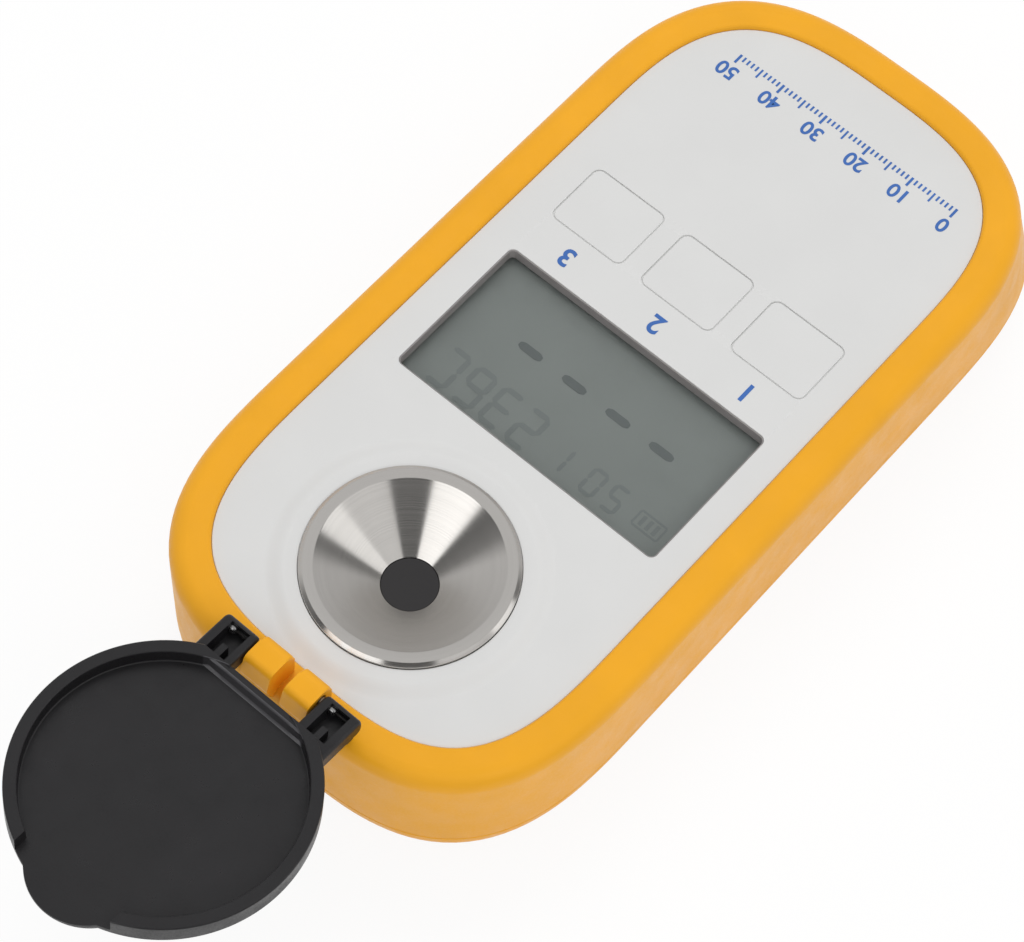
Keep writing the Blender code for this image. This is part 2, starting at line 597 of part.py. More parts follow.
def battery_cover(finish):
    """The battery door: a plate with side tongues and the casing's rounded end."""
    edge = arc((BACK_EDGE_RADIUS, BACK_EDGE_RADIUS), BACK_EDGE_RADIUS, 270, 180, EDGE_STEPS + 1)
    door = swept("battery_cover", [*edge, (0, SEAM_HEIGHT)], finish, closed=False)
    half = DOOR_WIDTH / 2
    step = door.modifiers.new("door_outline", "BOOLEAN")
    step.operation = "INTERSECT"
    step.object = box("door_outline", (-half, CASE_FAR - OVERRUN, -OVERRUN),
                      (half, DOOR_NEAR, SEAM_HEIGHT + OVERRUN))
    cut(door, box("door_inside", (-half - OVERRUN, CASE_FAR + CASE_WALL, DOOR_THICKNESS),
                  (half + OVERRUN, DOOR_NEAR + OVERRUN, SEAM_HEIGHT + 2 * OVERRUN)))
    join(door, box("door_tongues", (-half - DOOR_TONGUE, CASE_FAR + 2 * BACK_EDGE_RADIUS,
                                    DOOR_THICKNESS - DOOR_TONGUE_THICKNESS),
                   (half + DOOR_TONGUE, DOOR_NEAR - DOOR_CORNER, DOOR_THICKNESS - GRIP_DEPTH / 4)))
    for index in range(GRIP_COUNT):
        y = DOOR_NEAR - GRIP_FROM_EDGE - index * GRIP_PITCH
        cut(door, box(f"door_grip_{index}", (-GRIP_LENGTH / 2, y - GRIP_WIDTH, -OVERRUN),
                      (GRIP_LENGTH / 2, y, GRIP_DEPTH)))
    return door


def front_panel(finish):
    """The white panel: low boss round the well, display opening, key openings and posts."""
    edge = RIM_WIDTH + CLEARANCE / 2
    panel = swept("front_panel", [(edge, PANEL_BOTTOM), (edge, PANEL_TOP - PANEL_EDGE_ROUND),
                                  (edge + PANEL_EDGE_ROUND, PANEL_TOP)], finish, closed=False)
    slope = BOSS_HEIGHT / BOSS_FLANK
    boss = turned("panel_boss", [(0, PANEL_TOP + BOSS_HEIGHT),
                                 (BOSS_RADIUS - BOSS_FLANK, PANEL_TOP + BOSS_HEIGHT),
                                 (BOSS_RADIUS + PANEL_EDGE_ROUND, PANEL_TOP - slope * PANEL_EDGE_ROUND),
                                 (BOSS_RADIUS + PANEL_EDGE_ROUND, PANEL_TOP - PANEL_THICKNESS / 2),
                                 (0, PANEL_TOP - PANEL_THICKNESS / 2)], centre=(0, WELL_Y, 0))
    join(panel, boss)
    rebate = (DISPLAY_WIDTH + 2 * (DISPLAY_SURROUND + CLEARANCE),
              DISPLAY_DEPTH + 2 * (DISPLAY_SURROUND + CLEARANCE))
    cut(panel, rod("well_hole", (0, WELL_Y, PANEL_BOTTOM - OVERRUN),
                   (0, WELL_Y, PANEL_TOP + BOSS_HEIGHT + OVERRUN), WELL_RADIUS + CLEARANCE,
                   sides=ROUND_SIDES),
        centred_box("display_opening", (DISPLAY_OFF_CENTRE, DISPLAY_Y), (DISPLAY_WIDTH, DISPLAY_DEPTH),
                    PANEL_BOTTOM - OVERRUN, PANEL_TOP + OVERRUN, corner=DISPLAY_CORNER),
        centred_box("display_rebate", (DISPLAY_OFF_CENTRE, DISPLAY_Y), rebate,
                    PANEL_BOTTOM - OVERRUN, PANEL_TOP - DISPLAY_LIP))
    for index in range(-1, 2):
        centre = (KEYS_OFF_CENTRE + index * KEY_PITCH, KEYS_Y)
        cut(panel, centred_box(f"key_opening_{index + 1}", centre,
                               (KEY_WIDTH + 2 * CLEARANCE, KEY_DEPTH + 2 * CLEARANCE),
                               PANEL_BOTTOM - OVERRUN, PANEL_TOP + OVERRUN,
                               corner=KEY_CORNER + CLEARANCE))
    posts = [(x, y, POST_BOTTOM) for x, y in BOARD_SCREW_PLACES]
    posts += [(x, y, OPTICS_TOP + CLEARANCE) for x, y in EAR_PLACES]
    for index, (x, y, low) in enumerate(posts):
        join(panel, rod(f"panel_post_{index}", (x, y, low), (x, y, PANEL_TOP - PANEL_THICKNESS / 2),
                        POST_RADIUS))
        cut(panel, rod(f"panel_post_hole_{index}", (x, y, low - OVERRUN),
                       (x, y, PANEL_TOP - PANEL_THICKNESS * 3 / 4), SCREW_RADIUS + CLEARANCE))
    return panel


def keys(finish, plunger_finish, switch_finish):
    """Three flush key caps, each over the plunger of its switch on the board."""
    flange_top = PANEL_BOTTOM - CLEARANCE
    flange_bottom = flange_top - KEY_FLANGE_THICKNESS
    plunger_top = flange_bottom - CLEARANCE
    switch_bottom = BOARD_TOP + CLEARANCE
    plunger_bottom = switch_bottom + SWITCH_FLOOR + KEY_TRAVEL + CLEARANCE / 2
    for index, name in ((-1, "left"), (0, "middle"), (1, "right")):
        x = KEYS_OFF_CENTRE + index * KEY_PITCH
        cap = centred_box(f"key_{name}", (0, 0), (KEY_WIDTH, KEY_DEPTH),
                          flange_bottom + KEY_FLANGE_THICKNESS / 2 - PANEL_TOP, 0, finish, KEY_CORNER)
        cap.location = (x, KEYS_Y, PANEL_TOP)
        join(cap, centred_box(f"key_flange_{name}", (x, KEYS_Y),
                              (KEY_WIDTH + 2 * KEY_FLANGE, KEY_DEPTH + 2 * KEY_FLANGE),
                              flange_bottom, flange_top))
        length = plunger_top - plunger_bottom
        turned(f"plunger_{name}", [(0, 0), (PLUNGER_RADIUS, 0), (PLUNGER_RADIUS, -length), (0, -length)],
               plunger_finish, (x, KEYS_Y, plunger_top), sides=2 * SMALL_SIDES)
        switch = centred_box(f"switch_{name}", (x, KEYS_Y), (SWITCH_SIZE, SWITCH_SIZE),
                             switch_bottom, switch_bottom + SWITCH_HEIGHT, switch_finish)
        cut(switch, rod(f"switch_bore_{name}", (x, KEYS_Y, switch_bottom + SWITCH_FLOOR),
                        (x, KEYS_Y, switch_bottom + SWITCH_HEIGHT + OVERRUN),
                        PLUNGER_RADIUS + CLEARANCE, sides=2 * SMALL_SIDES))


def display(foam, clear, glass, dark, rubber):
    """From the panel down: foam seal, clear window, display glass, its holder and contacts."""
    centre = (DISPLAY_OFF_CENTRE, DISPLAY_Y)
    surround = 2 * DISPLAY_SURROUND
    seal_top = PANEL_TOP - DISPLAY_LIP - CLEARANCE
    seal_bottom = seal_top - DISPLAY_SEAL_THICKNESS
    window_top = seal_bottom - CLEARANCE
    window_bottom = window_top - WINDOW_THICKNESS
    glass_top = window_bottom - CLEARANCE
    glass_bottom = glass_top - GLASS_THICKNESS
    outer = (DISPLAY_WIDTH + surround, DISPLAY_DEPTH + surround)
    glass_size = (DISPLAY_WIDTH + 2 * GLASS_SURROUND, DISPLAY_DEPTH + 2 * GLASS_SURROUND)
    seal = centred_box("display_gasket", centre, outer, seal_bottom, seal_top, foam)
    cut(seal, centred_box("display_gasket_hole", centre, (DISPLAY_WIDTH, DISPLAY_DEPTH),
                          seal_bottom - OVERRUN, seal_top + OVERRUN, corner=DISPLAY_CORNER))
    centred_box("display_window", centre, outer, window_bottom, window_top, clear)
    centred_box("display_glass", centre, glass_size, glass_bottom, glass_top, glass)
    inner = (glass_size[0] + 2 * CLEARANCE, glass_size[1] + 2 * CLEARANCE)
    holder = centred_box("display_frame", centre,
                         (inner[0] + 2 * FRAME_WALL, inner[1] + 2 * FRAME_WALL),
                         BOARD_TOP + CLEARANCE, glass_top, dark)
    cut(holder, centred_box("display_frame_hole", centre, inner, BOARD_TOP - OVERRUN,
                            glass_top + OVERRUN))
    reach = glass_size[1] / 2 - STRIP_INSET - STRIP_WIDTH / 2
    for name, end in (("near", 1), ("far", -1)):
        centred_box(f"display_strip_{name}", (DISPLAY_OFF_CENTRE, DISPLAY_Y + end * reach),
                    (glass_size[0] - 2 * STRIP_WIDTH, STRIP_WIDTH),
                    BOARD_TOP + CLEARANCE, glass_bottom - CLEARANCE, rubber)


def circuit_board(board_finish, chip_finish):
    """The main board, drilled for its screws, and its processor."""
    near = board_edge()
    far = KEYS_Y - BOARD_PAST_KEYS
    board = box("main_board", (-BOARD_WIDTH / 2, far, BOARD_BOTTOM), (BOARD_WIDTH / 2, near, BOARD_TOP),
                board_finish, BOARD_CORNER)
    for index, (x, y) in enumerate(BOARD_SCREW_PLACES):
        cut(board, rod(f"board_hole_{index}", (x, y, BOARD_BOTTOM - OVERRUN),
                       (x, y, BOARD_TOP + OVERRUN), SCREW_RADIUS + CLEARANCE))
    cut(board, centred_box("board_tab_hole", (0, BAY_NEAR - CLEARANCE - CONTACT_THICKNESS / 2),
                           (CONTACT_TAB_WIDTH + 2 * CLEARANCE, CONTACT_THICKNESS + 2 * CLEARANCE),
                           BOARD_BOTTOM - OVERRUN, BOARD_TOP + OVERRUN))
    chip_low = BOARD_TOP + CLEARANCE
    centred_box("main_chip", (0, KEYS_Y - CHIP_FROM_KEYS), (CHIP_SIZE, CHIP_SIZE), chip_low,
                chip_low + CHIP_HEIGHT, chip_finish, CHIP_HEIGHT / 4)


def sample_well(steel, rubber):
    """The turned steel dish with its clamping flange, and the washer above the flange."""
    wall = WELL_RADIUS - WELL_WALL
    drop = CONE_DEPTH / (CONE_TOP_RADIUS - CONE_FLOOR_RADIUS)
    seat = CONE_FLOOR_RADIUS + SEAT_WIDTH
    seat_ceiling = CONE_FLOOR + drop * SEAT_WIDTH - CONE_WALL
    wall_ceiling = CONE_FLOOR + drop * (wall - CONE_FLOOR_RADIUS) - CONE_WALL
    turned("sample_well", [(CONE_FLOOR_RADIUS, CONE_FLOOR), (CONE_TOP_RADIUS, WELL_TOP),
                           (WELL_RADIUS - WELL_BEVEL, WELL_TOP), (WELL_RADIUS, WELL_TOP - WELL_BEVEL),
                           (WELL_RADIUS, FLANGE_TOP), (FLANGE_RADIUS, FLANGE_TOP),
                           (FLANGE_RADIUS, FLANGE_BOTTOM), (wall, FLANGE_BOTTOM),
                           (wall, wall_ceiling), (seat, seat_ceiling), (seat, WELL_BOTTOM),
                           (CONE_FLOOR_RADIUS, WELL_BOTTOM)], steel, (0, WELL_Y, 0), closed=True)
    low = FLANGE_TOP + CLEARANCE
    high = low + WELL_SEAL_THICKNESS
    turned("well_gasket", [(WELL_RADIUS + CLEARANCE, high), (FLANGE_RADIUS, high), (FLANGE_RADIUS, low),
                           (WELL_RADIUS + CLEARANCE, low)], rubber, (0, WELL_Y, 0), closed=True)


def prism(glass, rubber):
    """The prism with its round sample face, and the seal on its shoulder."""
    block = centred_box("prism", (0, WELL_Y), (PRISM_WIDTH, PRISM_LENGTH), PRISM_BOTTOM, PRISM_SHOULDER,
                        glass)
    for vertex in block.data.vertices:
        if vertex.co.z < PRISM_SHOULDER - MERGE:
            vertex.co.y = WELL_Y + (vertex.co.y - WELL_Y) * PRISM_BASE_LENGTH / PRISM_LENGTH
    join(block, rod("prism_face", (0, WELL_Y, PRISM_SHOULDER - PRISM_HEIGHT / 2),
                    (0, WELL_Y, CONE_FLOOR - PRISM_BELOW_FLOOR), CONE_FLOOR_RADIUS - CLEARANCE,
                    sides=ROUND_SIDES))
    low = PRISM_SHOULDER + CLEARANCE
    high = low + PRISM_SEAL_THICKNESS
    outer = CONE_FLOOR_RADIUS + SEAT_WIDTH
    turned("prism_seal", [(CONE_FLOOR_RADIUS, high), (outer, high), (outer, low),
                          (CONE_FLOOR_RADIUS, low)], rubber, (0, WELL_Y, 0), closed=True,
           sides=2 * SMALL_SIDES)


def optics(black, glass, lamp_finish, sensor_finish, board_finish, ribbon_finish, probe_finish):
    """The optical bench that presses the well up: housing, lamp, lenses, sensor and probe."""
    sensor_end = WELL_Y - OPTICS_TO_SENSOR
    lamp_end = WELL_Y + OPTICS_TO_LAMP
    plate_bottom = OPTICS_TOP - OPTICS_PLATE
    housing = box("optics_housing", (-OPTICS_WIDTH / 2, sensor_end, OPTICS_FLOOR),
                  (OPTICS_WIDTH / 2, lamp_end, OPTICS_TOP - CLEARANCE), black)
    join(housing, turned("optics_plate", [(0, OPTICS_TOP), (FLANGE_RADIUS, OPTICS_TOP),
                                          (FLANGE_RADIUS, plate_bottom), (0, plate_bottom)],
                         centre=(0, WELL_Y, 0)))
    for index, (x, y) in enumerate(EAR_PLACES):
        low = plate_bottom + CLEARANCE / 2
        web = box(f"optics_web_{index}", (0, -POST_RADIUS, low + CLEARANCE / 2),
                  (EAR_REACH, POST_RADIUS, OPTICS_TOP - CLEARANCE / 2), location=(0, WELL_Y, 0))
        web.rotation_euler.z = math.atan2(y - WELL_Y, x)
        join(housing, web, rod(f"optics_ear_{index}", (x, y, low), (x, y, OPTICS_TOP), POST_RADIUS))
    for index, (x, y) in enumerate(EAR_PLACES):
        cut(housing, rod(f"optics_ear_hole_{index}", (x, y, plate_bottom - OVERRUN),
                         (x, y, OPTICS_TOP + OVERRUN), SCREW_RADIUS + CLEARANCE))
    path_low = OPTICS_FLOOR + LIGHT_PATH_FLOOR
    path_high = path_low + LIGHT_PATH_HEIGHT
    prism_end = WELL_Y + PRISM_LENGTH / 2
    path_end = prism_end + 2 * LENS_FROM_PRISM + LENS_THICKNESS + LENS_BULGE
    cut(housing, centred_box("prism_pocket", (0, WELL_Y),
                             (PRISM_WIDTH + 2 * CLEARANCE, PRISM_LENGTH + 2 * CLEARANCE),
                             PRISM_BOTTOM - CLEARANCE, OPTICS_TOP + OVERRUN),
        rod("seal_recess", (0, WELL_Y, PRISM_SHOULDER), (0, WELL_Y, OPTICS_TOP + OVERRUN),
            CONE_FLOOR_RADIUS + SEAT_WIDTH + CLEARANCE, sides=2 * SMALL_SIDES),
        box("light_path", (-LIGHT_PATH_WIDTH / 2, sensor_end + CASE_WALL, path_low),
            (LIGHT_PATH_WIDTH / 2, path_end, path_high)),
        box("sensor_window", (-SENSOR_WINDOW_WIDTH / 2, sensor_end - OVERRUN, LIGHT_Z - SENSOR_HEIGHT / 3),
            (SENSOR_WINDOW_WIDTH / 2, sensor_end + CASE_WALL + OVERRUN, LIGHT_Z + SENSOR_HEIGHT / 3)),
        rod("lamp_bore", (0, path_end - OVERRUN, LIGHT_Z), (0, lamp_end + OVERRUN, LIGHT_Z),
            LAMP_RADIUS + CLEARANCE))
    lens_radius = LIGHT_PATH_HEIGHT / 2 - CLEARANCE
    bulge = [(lens_radius * share, LENS_THICKNESS + LENS_BULGE * (1 - share ** 2))
             for share in (step / LENS_STEPS for step in range(LENS_STEPS + 1))]
    lens_profile = [*bulge, (lens_radius, 0), (0, 0)]
    turned("condenser_lens", lens_profile, glass, (0, prism_end + LENS_FROM_PRISM, LIGHT_Z),
           sides=2 * SMALL_SIDES, turn=(-math.pi / 2, 0, 0))
    turned("focus_lens", lens_profile, glass,
           (0, WELL_Y - PRISM_LENGTH / 2 - LENS_FROM_PRISM, LIGHT_Z), sides=2 * SMALL_SIDES,
           turn=(math.pi / 2, 0, 0))
    flange = LAMP_RADIUS + LAMP_FLANGE
    lamp_face = lamp_end + CLEARANCE
    tip = lamp_face - LAMP_LENGTH
    turned("light_source", [(0, LAMP_LENGTH + LAMP_FLANGE_THICKNESS),
                            (LAMP_RADIUS / 2, LAMP_LENGTH + LAMP_FLANGE_THICKNESS - LAMP_RADIUS / 5),
                            (LAMP_RADIUS, LAMP_LENGTH + LAMP_FLANGE_THICKNESS - LAMP_RADIUS),
                            (LAMP_RADIUS, LAMP_FLANGE_THICKNESS), (flange, LAMP_FLANGE_THICKNESS),
                            (flange, 0), (0, 0)], lamp_finish,
           (0, tip + LAMP_LENGTH + LAMP_FLANGE_THICKNESS, LIGHT_Z), sides=2 * SMALL_SIDES,
           turn=(math.pi / 2, 0, 0))
    sensor_near = sensor_end - CLEARANCE
    box("line_sensor", (-SENSOR_WIDTH / 2, sensor_near - SENSOR_DEPTH, LIGHT_Z - SENSOR_HEIGHT / 2),
        (SENSOR_WIDTH / 2, sensor_near, LIGHT_Z + SENSOR_HEIGHT / 2), sensor_finish)
    board_near = sensor_near - SENSOR_DEPTH - CLEARANCE
    board_far = board_near - SENSOR_BOARD_THICKNESS
    box("sensor_board", (-SENSOR_BOARD_WIDTH / 2, board_far, LIGHT_Z - SENSOR_BOARD_HEIGHT / 2),
        (SENSOR_BOARD_WIDTH / 2, board_near, LIGHT_Z + SENSOR_BOARD_HEIGHT / 2), board_finish)
    ribbon_near = board_far - CLEARANCE
    ribbon_top = BOARD_BOTTOM - CLEARANCE
    half = RIBBON_WIDTH / 2
    ribbon = box("sensor_ribbon", (-half, board_edge() - RIBBON_ON_BOARD, ribbon_top - RIBBON_THICKNESS),
                 (half, ribbon_near, ribbon_top), ribbon_finish)
    join(ribbon, box("ribbon_drop", (-half + RIBBON_THICKNESS / 2, ribbon_near - RIBBON_THICKNESS,
                                     ribbon_top - RIBBON_DROP),
                     (half - RIBBON_THICKNESS / 2, ribbon_near - RIBBON_THICKNESS / 4,
                      ribbon_top - RIBBON_THICKNESS / 2)))
    drop = CONE_DEPTH / (CONE_TOP_RADIUS - CONE_FLOOR_RADIUS)
    ceiling = CONE_FLOOR + drop * (PROBE_FROM_CENTRE - CONE_FLOOR_RADIUS) - CONE_WALL
    bead_z = ceiling - (PROBE_RADIUS + CLEARANCE) * math.hypot(1, drop)
    stem_low = OPTICS_TOP + CLEARANCE
    dome = [(PROBE_RADIUS * math.sin(angle), bead_z + PROBE_RADIUS * math.cos(angle))
            for angle in (math.pi / 2 * step / LENS_STEPS for step in range(LENS_STEPS + 1))]
    turned("temperature_probe", [*dome, (PROBE_STEM_RADIUS, bead_z - PROBE_RADIUS / 2),
                                 (PROBE_STEM_RADIUS, stem_low), (0, stem_low)], probe_finish,
           (PROBE_FROM_CENTRE, WELL_Y, 0), sides=SMALL_SIDES)


def board_edge():
    """The end of the main board under the display."""
    return DISPLAY_Y + DISPLAY_DEPTH / 2 + GLASS_SURROUND + BOARD_PAST_DISPLAY


def battery(cell_finish, spring_finish, lead_finish):
    """The cell on its axis along Y, between a coil spring and a flat contact, with its lead."""
    far_plate = BAY_FAR + CLEARANCE
    spring_far = far_plate + CONTACT_THICKNESS + CLEARANCE
    cell_far = spring_far + SPRING_LENGTH + CLEARANCE
    near_plate = BAY_NEAR - CLEARANCE - CONTACT_THICKNESS
    shoulder = BATTERY_RADIUS - BATTERY_EDGE
    turned("battery", [(0, BATTERY_LENGTH + BATTERY_NUB), (BATTERY_NUB_RADIUS, BATTERY_LENGTH + BATTERY_NUB),
                       (BATTERY_NUB_RADIUS, BATTERY_LENGTH), (shoulder, BATTERY_LENGTH),
                       (BATTERY_RADIUS, BATTERY_LENGTH - BATTERY_EDGE), (BATTERY_RADIUS, BATTERY_EDGE),
                       (shoulder, 0), (0, 0)], cell_finish, (0, cell_far, BATTERY_Z),
           sides=2 * SMALL_SIDES, turn=(-math.pi / 2, 0, 0))
    coil = bpy.data.curves.new("battery_spring", "CURVE")
    coil.dimensions = "3D"
    coil.bevel_depth = SPRING_WIRE_RADIUS
    coil.bevel_resolution = 2
    coil.use_fill_caps = True
    steps = SPRING_TURNS * SPRING_STEPS
    points = []
    for step in range(steps + 1):
        share = step / steps
        angle = 2 * math.pi * SPRING_TURNS * share
        radius = SPRING_RADIUS + (SPRING_TIP_RADIUS - SPRING_RADIUS) * share
        y = spring_far + SPRING_WIRE_RADIUS + (SPRING_LENGTH - 2 * SPRING_WIRE_RADIUS) * share
        points.append((radius * math.cos(angle), y, BATTERY_Z + radius * math.sin(angle)))
    draw(coil, points)
    place("battery_spring", coil, spring_finish)
    lead_start = BAY_TOP + BAY_WALL + CLEARANCE
    tops = {"battery_contact_far": (far_plate, lead_start), "battery_contact_near":
            (near_plate, BOARD_TOP + CONTACT_THICKNESS)}
    for name, (y, top) in tops.items():
        half = CONTACT_WIDTH / 2
        plate = box(name, (-half, y, BATTERY_Z - CONTACT_HEIGHT / 2),
                    (half, y + CONTACT_THICKNESS, BATTERY_Z + CONTACT_HEIGHT / 2), spring_finish)
        inset = CONTACT_THICKNESS / 8
        join(plate, box(f"{name}_tab", (-CONTACT_TAB_WIDTH / 2, y + inset, BATTERY_Z),
                        (CONTACT_TAB_WIDTH / 2, y + CONTACT_THICKNESS - inset, top)))
    lead = bpy.data.curves.new("battery_lead", "CURVE")
    lead.dimensions = "3D"
    lead.bevel_depth = LEAD_RADIUS
    lead.bevel_resolution = 2
    lead.use_fill_caps = True
    start_y = far_plate + CONTACT_THICKNESS / 2
    start_z = lead_start + CLEARANCE + LEAD_RADIUS
    end_y = KEYS_Y - BOARD_PAST_KEYS + LEAD_ON_BOARD
    end_z = BOARD_TOP + CLEARANCE + LEAD_RADIUS
    points = []
    for step in range(SPRING_STEPS + 1):
        share = step / SPRING_STEPS
        points.append((0, start_y + (end_y - start_y) * share,
                       start_z + (end_z - start_z) * share + LEAD_ARCH * math.sin(math.pi * share)))
    draw(lead, points)
    place("battery_lead", lead, lead_finish)


def draw(curve, points):
    """Adds one open line through the points to the curve."""
    spline = curve.splines.new("POLY")
    spline.points.add(len(points) - 1)
    for point, place_at in zip(spline.points, points):
        point.co = (*place_at, 1)


def case_gasket(rubber):
    """The rubber ring in the seam between the two shells."""
    outer = CASE_WALL - GASKET_WIDTH
    swept("case_gasket", [(outer, FRAME_BOTTOM), (outer, FRAME_BOTTOM + GASKET_HEIGHT),
                          (CASE_WALL, FRAME_BOTTOM + GASKET_HEIGHT), (CASE_WALL, FRAME_BOTTOM)], rubber)


def screws(finish):
    """Three sets of cross-head screws, driven from the back."""
    sets = {
        "case_screw": (SCREW_PLACES, CASE_SCREW_RADIUS, CASE_SCREW_HEAD_RADIUS,
                        CASE_SCREW_HEAD_HEIGHT, CASE_SCREW_LENGTH, CASE_SCREW_SINK),
        "board_screw": (BOARD_SCREW_PLACES, SCREW_RADIUS, SCREW_HEAD_RADIUS, SCREW_HEAD_HEIGHT,
                         SHORT_SCREW_LENGTH, BOARD_BOTTOM - CLEARANCE - SCREW_HEAD_HEIGHT),
        "optics_screw": (EAR_PLACES, SCREW_RADIUS, SCREW_HEAD_RADIUS, SCREW_HEAD_HEIGHT,
                          SHORT_SCREW_LENGTH,
                          OPTICS_TOP - OPTICS_PLATE - CLEARANCE - SCREW_HEAD_HEIGHT),
    }
    for name, (places, radius, head_radius, head_height, length, low) in sets.items():
        form = turned(f"{name}_form", [(0, head_height + length), (radius, head_height + length),
                                       (radius, head_height), (head_radius, head_height),
                                       (head_radius, 0), (0, 0)], sides=SMALL_SIDES)
        reach = head_radius / 2 + CROSS_WIDTH / 4
        half = CROSS_WIDTH / 2
        slots = [box(f"{name}_slot", (-reach, -half, -OVERRUN), (reach, half, CROSS_DEPTH)),
                 box(f"{name}_cross", (-half, -reach, -OVERRUN), (half, reach, CROSS_DEPTH))]
        cut(form, *slots)
        copies(name, form, [(x, y, low) for x, y in places], finish)
        for slot in slots:
            bpy.data.objects.remove(slot, do_unlink=True)


def hinge(lid_finish, pin_finish):
    """The flip lid, modelled closed about the hinge axis and turned open, and its two pins."""
    axis = bpy.data.objects.new("lid_hinge", None)
    bpy.data.collections["digital_pocket_refractometer"].objects.link(axis)
    axis.location = (0, AXIS_Y, AXIS_Z)
    axis.rotation_euler = (-OPEN_ANGLE, 0, 0)
    centre = -AXIS_FROM_WELL
    skirt = LID_ABOVE_PANEL - AXIS_ABOVE_PANEL
    top = skirt + LID_HEIGHT
    ceiling = top - LID_TOP_THICKNESS
    inner = LID_RADIUS - LID_RIM_WIDTH
    chord_from_centre = LID_RADIUS - LID_CHORD_DEPTH
    chord = centre + chord_from_centre
    edge = arc((LID_RADIUS - LID_EDGE_ROUND, top - LID_EDGE_ROUND), LID_EDGE_ROUND, 90, 0, 2)
    lid = turned("lid", [(0, top), *edge, (LID_RADIUS, skirt), (inner, skirt), (inner, ceiling),
                         (0, ceiling)], lid_finish, (0, centre, 0))
    rib_near = chord - CHORD_STRIP_WIDTH
    rib = box("lid_chord_rib", (-CHORD_RIB_HALF_LENGTH, rib_near - CHORD_RIB_WIDTH, top - CHORD_RIB_DEPTH),
              (CHORD_RIB_HALF_LENGTH, rib_near + OVERRUN / 2, top - LID_TOP_THICKNESS / 2))
    strip_cut = box("lid_strip_cut", (-LID_RADIUS, rib_near, skirt - OVERRUN),
                    (LID_RADIUS, chord + OVERRUN, CLEARANCE / 6 - ARM_THICKNESS / 2))
    chord_cut = box("lid_chord_cut", (-LID_RADIUS, chord, skirt - OVERRUN),
                    (LID_RADIUS, chord + LID_RADIUS, top + OVERRUN))
    tab_half = TAB_WIDTH / 2
    tip = centre - LID_RADIUS - TAB_REACH
    root = centre - LID_RADIUS + TAB_ROOT
    notch_half = tab_half + TAB_NOTCH
    tab_cut = box("lid_tab_cut", (TAB_OFF_CENTRE - notch_half, tip - OVERRUN, skirt - OVERRUN),
                  (TAB_OFF_CENTRE + notch_half, centre - LID_RADIUS + SKIRT_OPENING,
                   ceiling + TAB_SINK / 3))
    tab_low = ceiling + TAB_SINK
    tab_high = top - TAB_SINK
    tab = box("lid_tab", (TAB_OFF_CENTRE - tab_half, tip, tab_low),
              (TAB_OFF_CENTRE + tab_half, root, tab_high), corner=TAB_CORNER, steps=2 * EDGE_STEPS)
    rise = tab_high - TAB_EDGE_THICKNESS - tab_low
    for vertex in tab.data.vertices:
        if vertex.co.z < (tab_low + tab_high) / 2:
            vertex.co.z += rise * (root - vertex.co.y) / (root - tip)
    join(lid, rib)
    cut(lid, chord_cut, strip_cut, tab_cut)
    join(lid, tab)
    pieces = [lid, rib, chord_cut, strip_cut, tab_cut, tab]
    half = ARM_THICKNESS / 2
    for name, side in (("left", -1), ("right", 1)):
        sides = sorted((side * ARM_INNER, side * ARM_OUTER))
        arm = box(f"lid_arm_{name}", (sides[0], chord - ARM_ON_LID, -half),
                  (sides[1], ARM_PAST_AXIS, half), corner=ARM_ROUND, edges="X")
        middle = (sides[0] + sides[1]) / 2
        pocket = box(f"lid_pocket_{name}",
                     (middle - POCKET_WIDTH / 2, POCKET_PAST_AXIS - POCKET_LENGTH, -half - OVERRUN),
                     (middle + POCKET_WIDTH / 2, POCKET_PAST_AXIS, POCKET_DEPTH - half))
        bore = rod(f"lid_bore_{name}", (side * (ARM_INNER - OVERRUN), 0, 0),
                   (side * (ARM_OUTER - PIN_END_WALL), 0, 0), PIN_RADIUS + PIN_CLEARANCE)
        heel = box(f"lid_heel_{name}",
                   (sides[0] + ARM_SIDE_ROUND, HEEL_PAST_AXIS, RIM_TOP + CLEARANCE - AXIS_Z),
                   (sides[1] - ARM_SIDE_ROUND, HEEL_PAST_AXIS + HEEL_LENGTH, -half / 2))
        heel.location = (0, AXIS_Y, AXIS_Z)
        join(lid, arm, heel)
        cut(lid, pocket, bore)
        pieces += [arm, pocket, bore]
        pin_ends = [(side * (KNUCKLE_GAP / 2 + CLEARANCE), AXIS_Y, AXIS_Z),
                    (side * (ARM_OUTER - PIN_END_WALL - CLEARANCE), AXIS_Y, AXIS_Z)]
        rod(f"hinge_pin_{name}", *pin_ends, PIN_RADIUS, pin_finish)
    for piece in pieces:
        piece.parent = axis


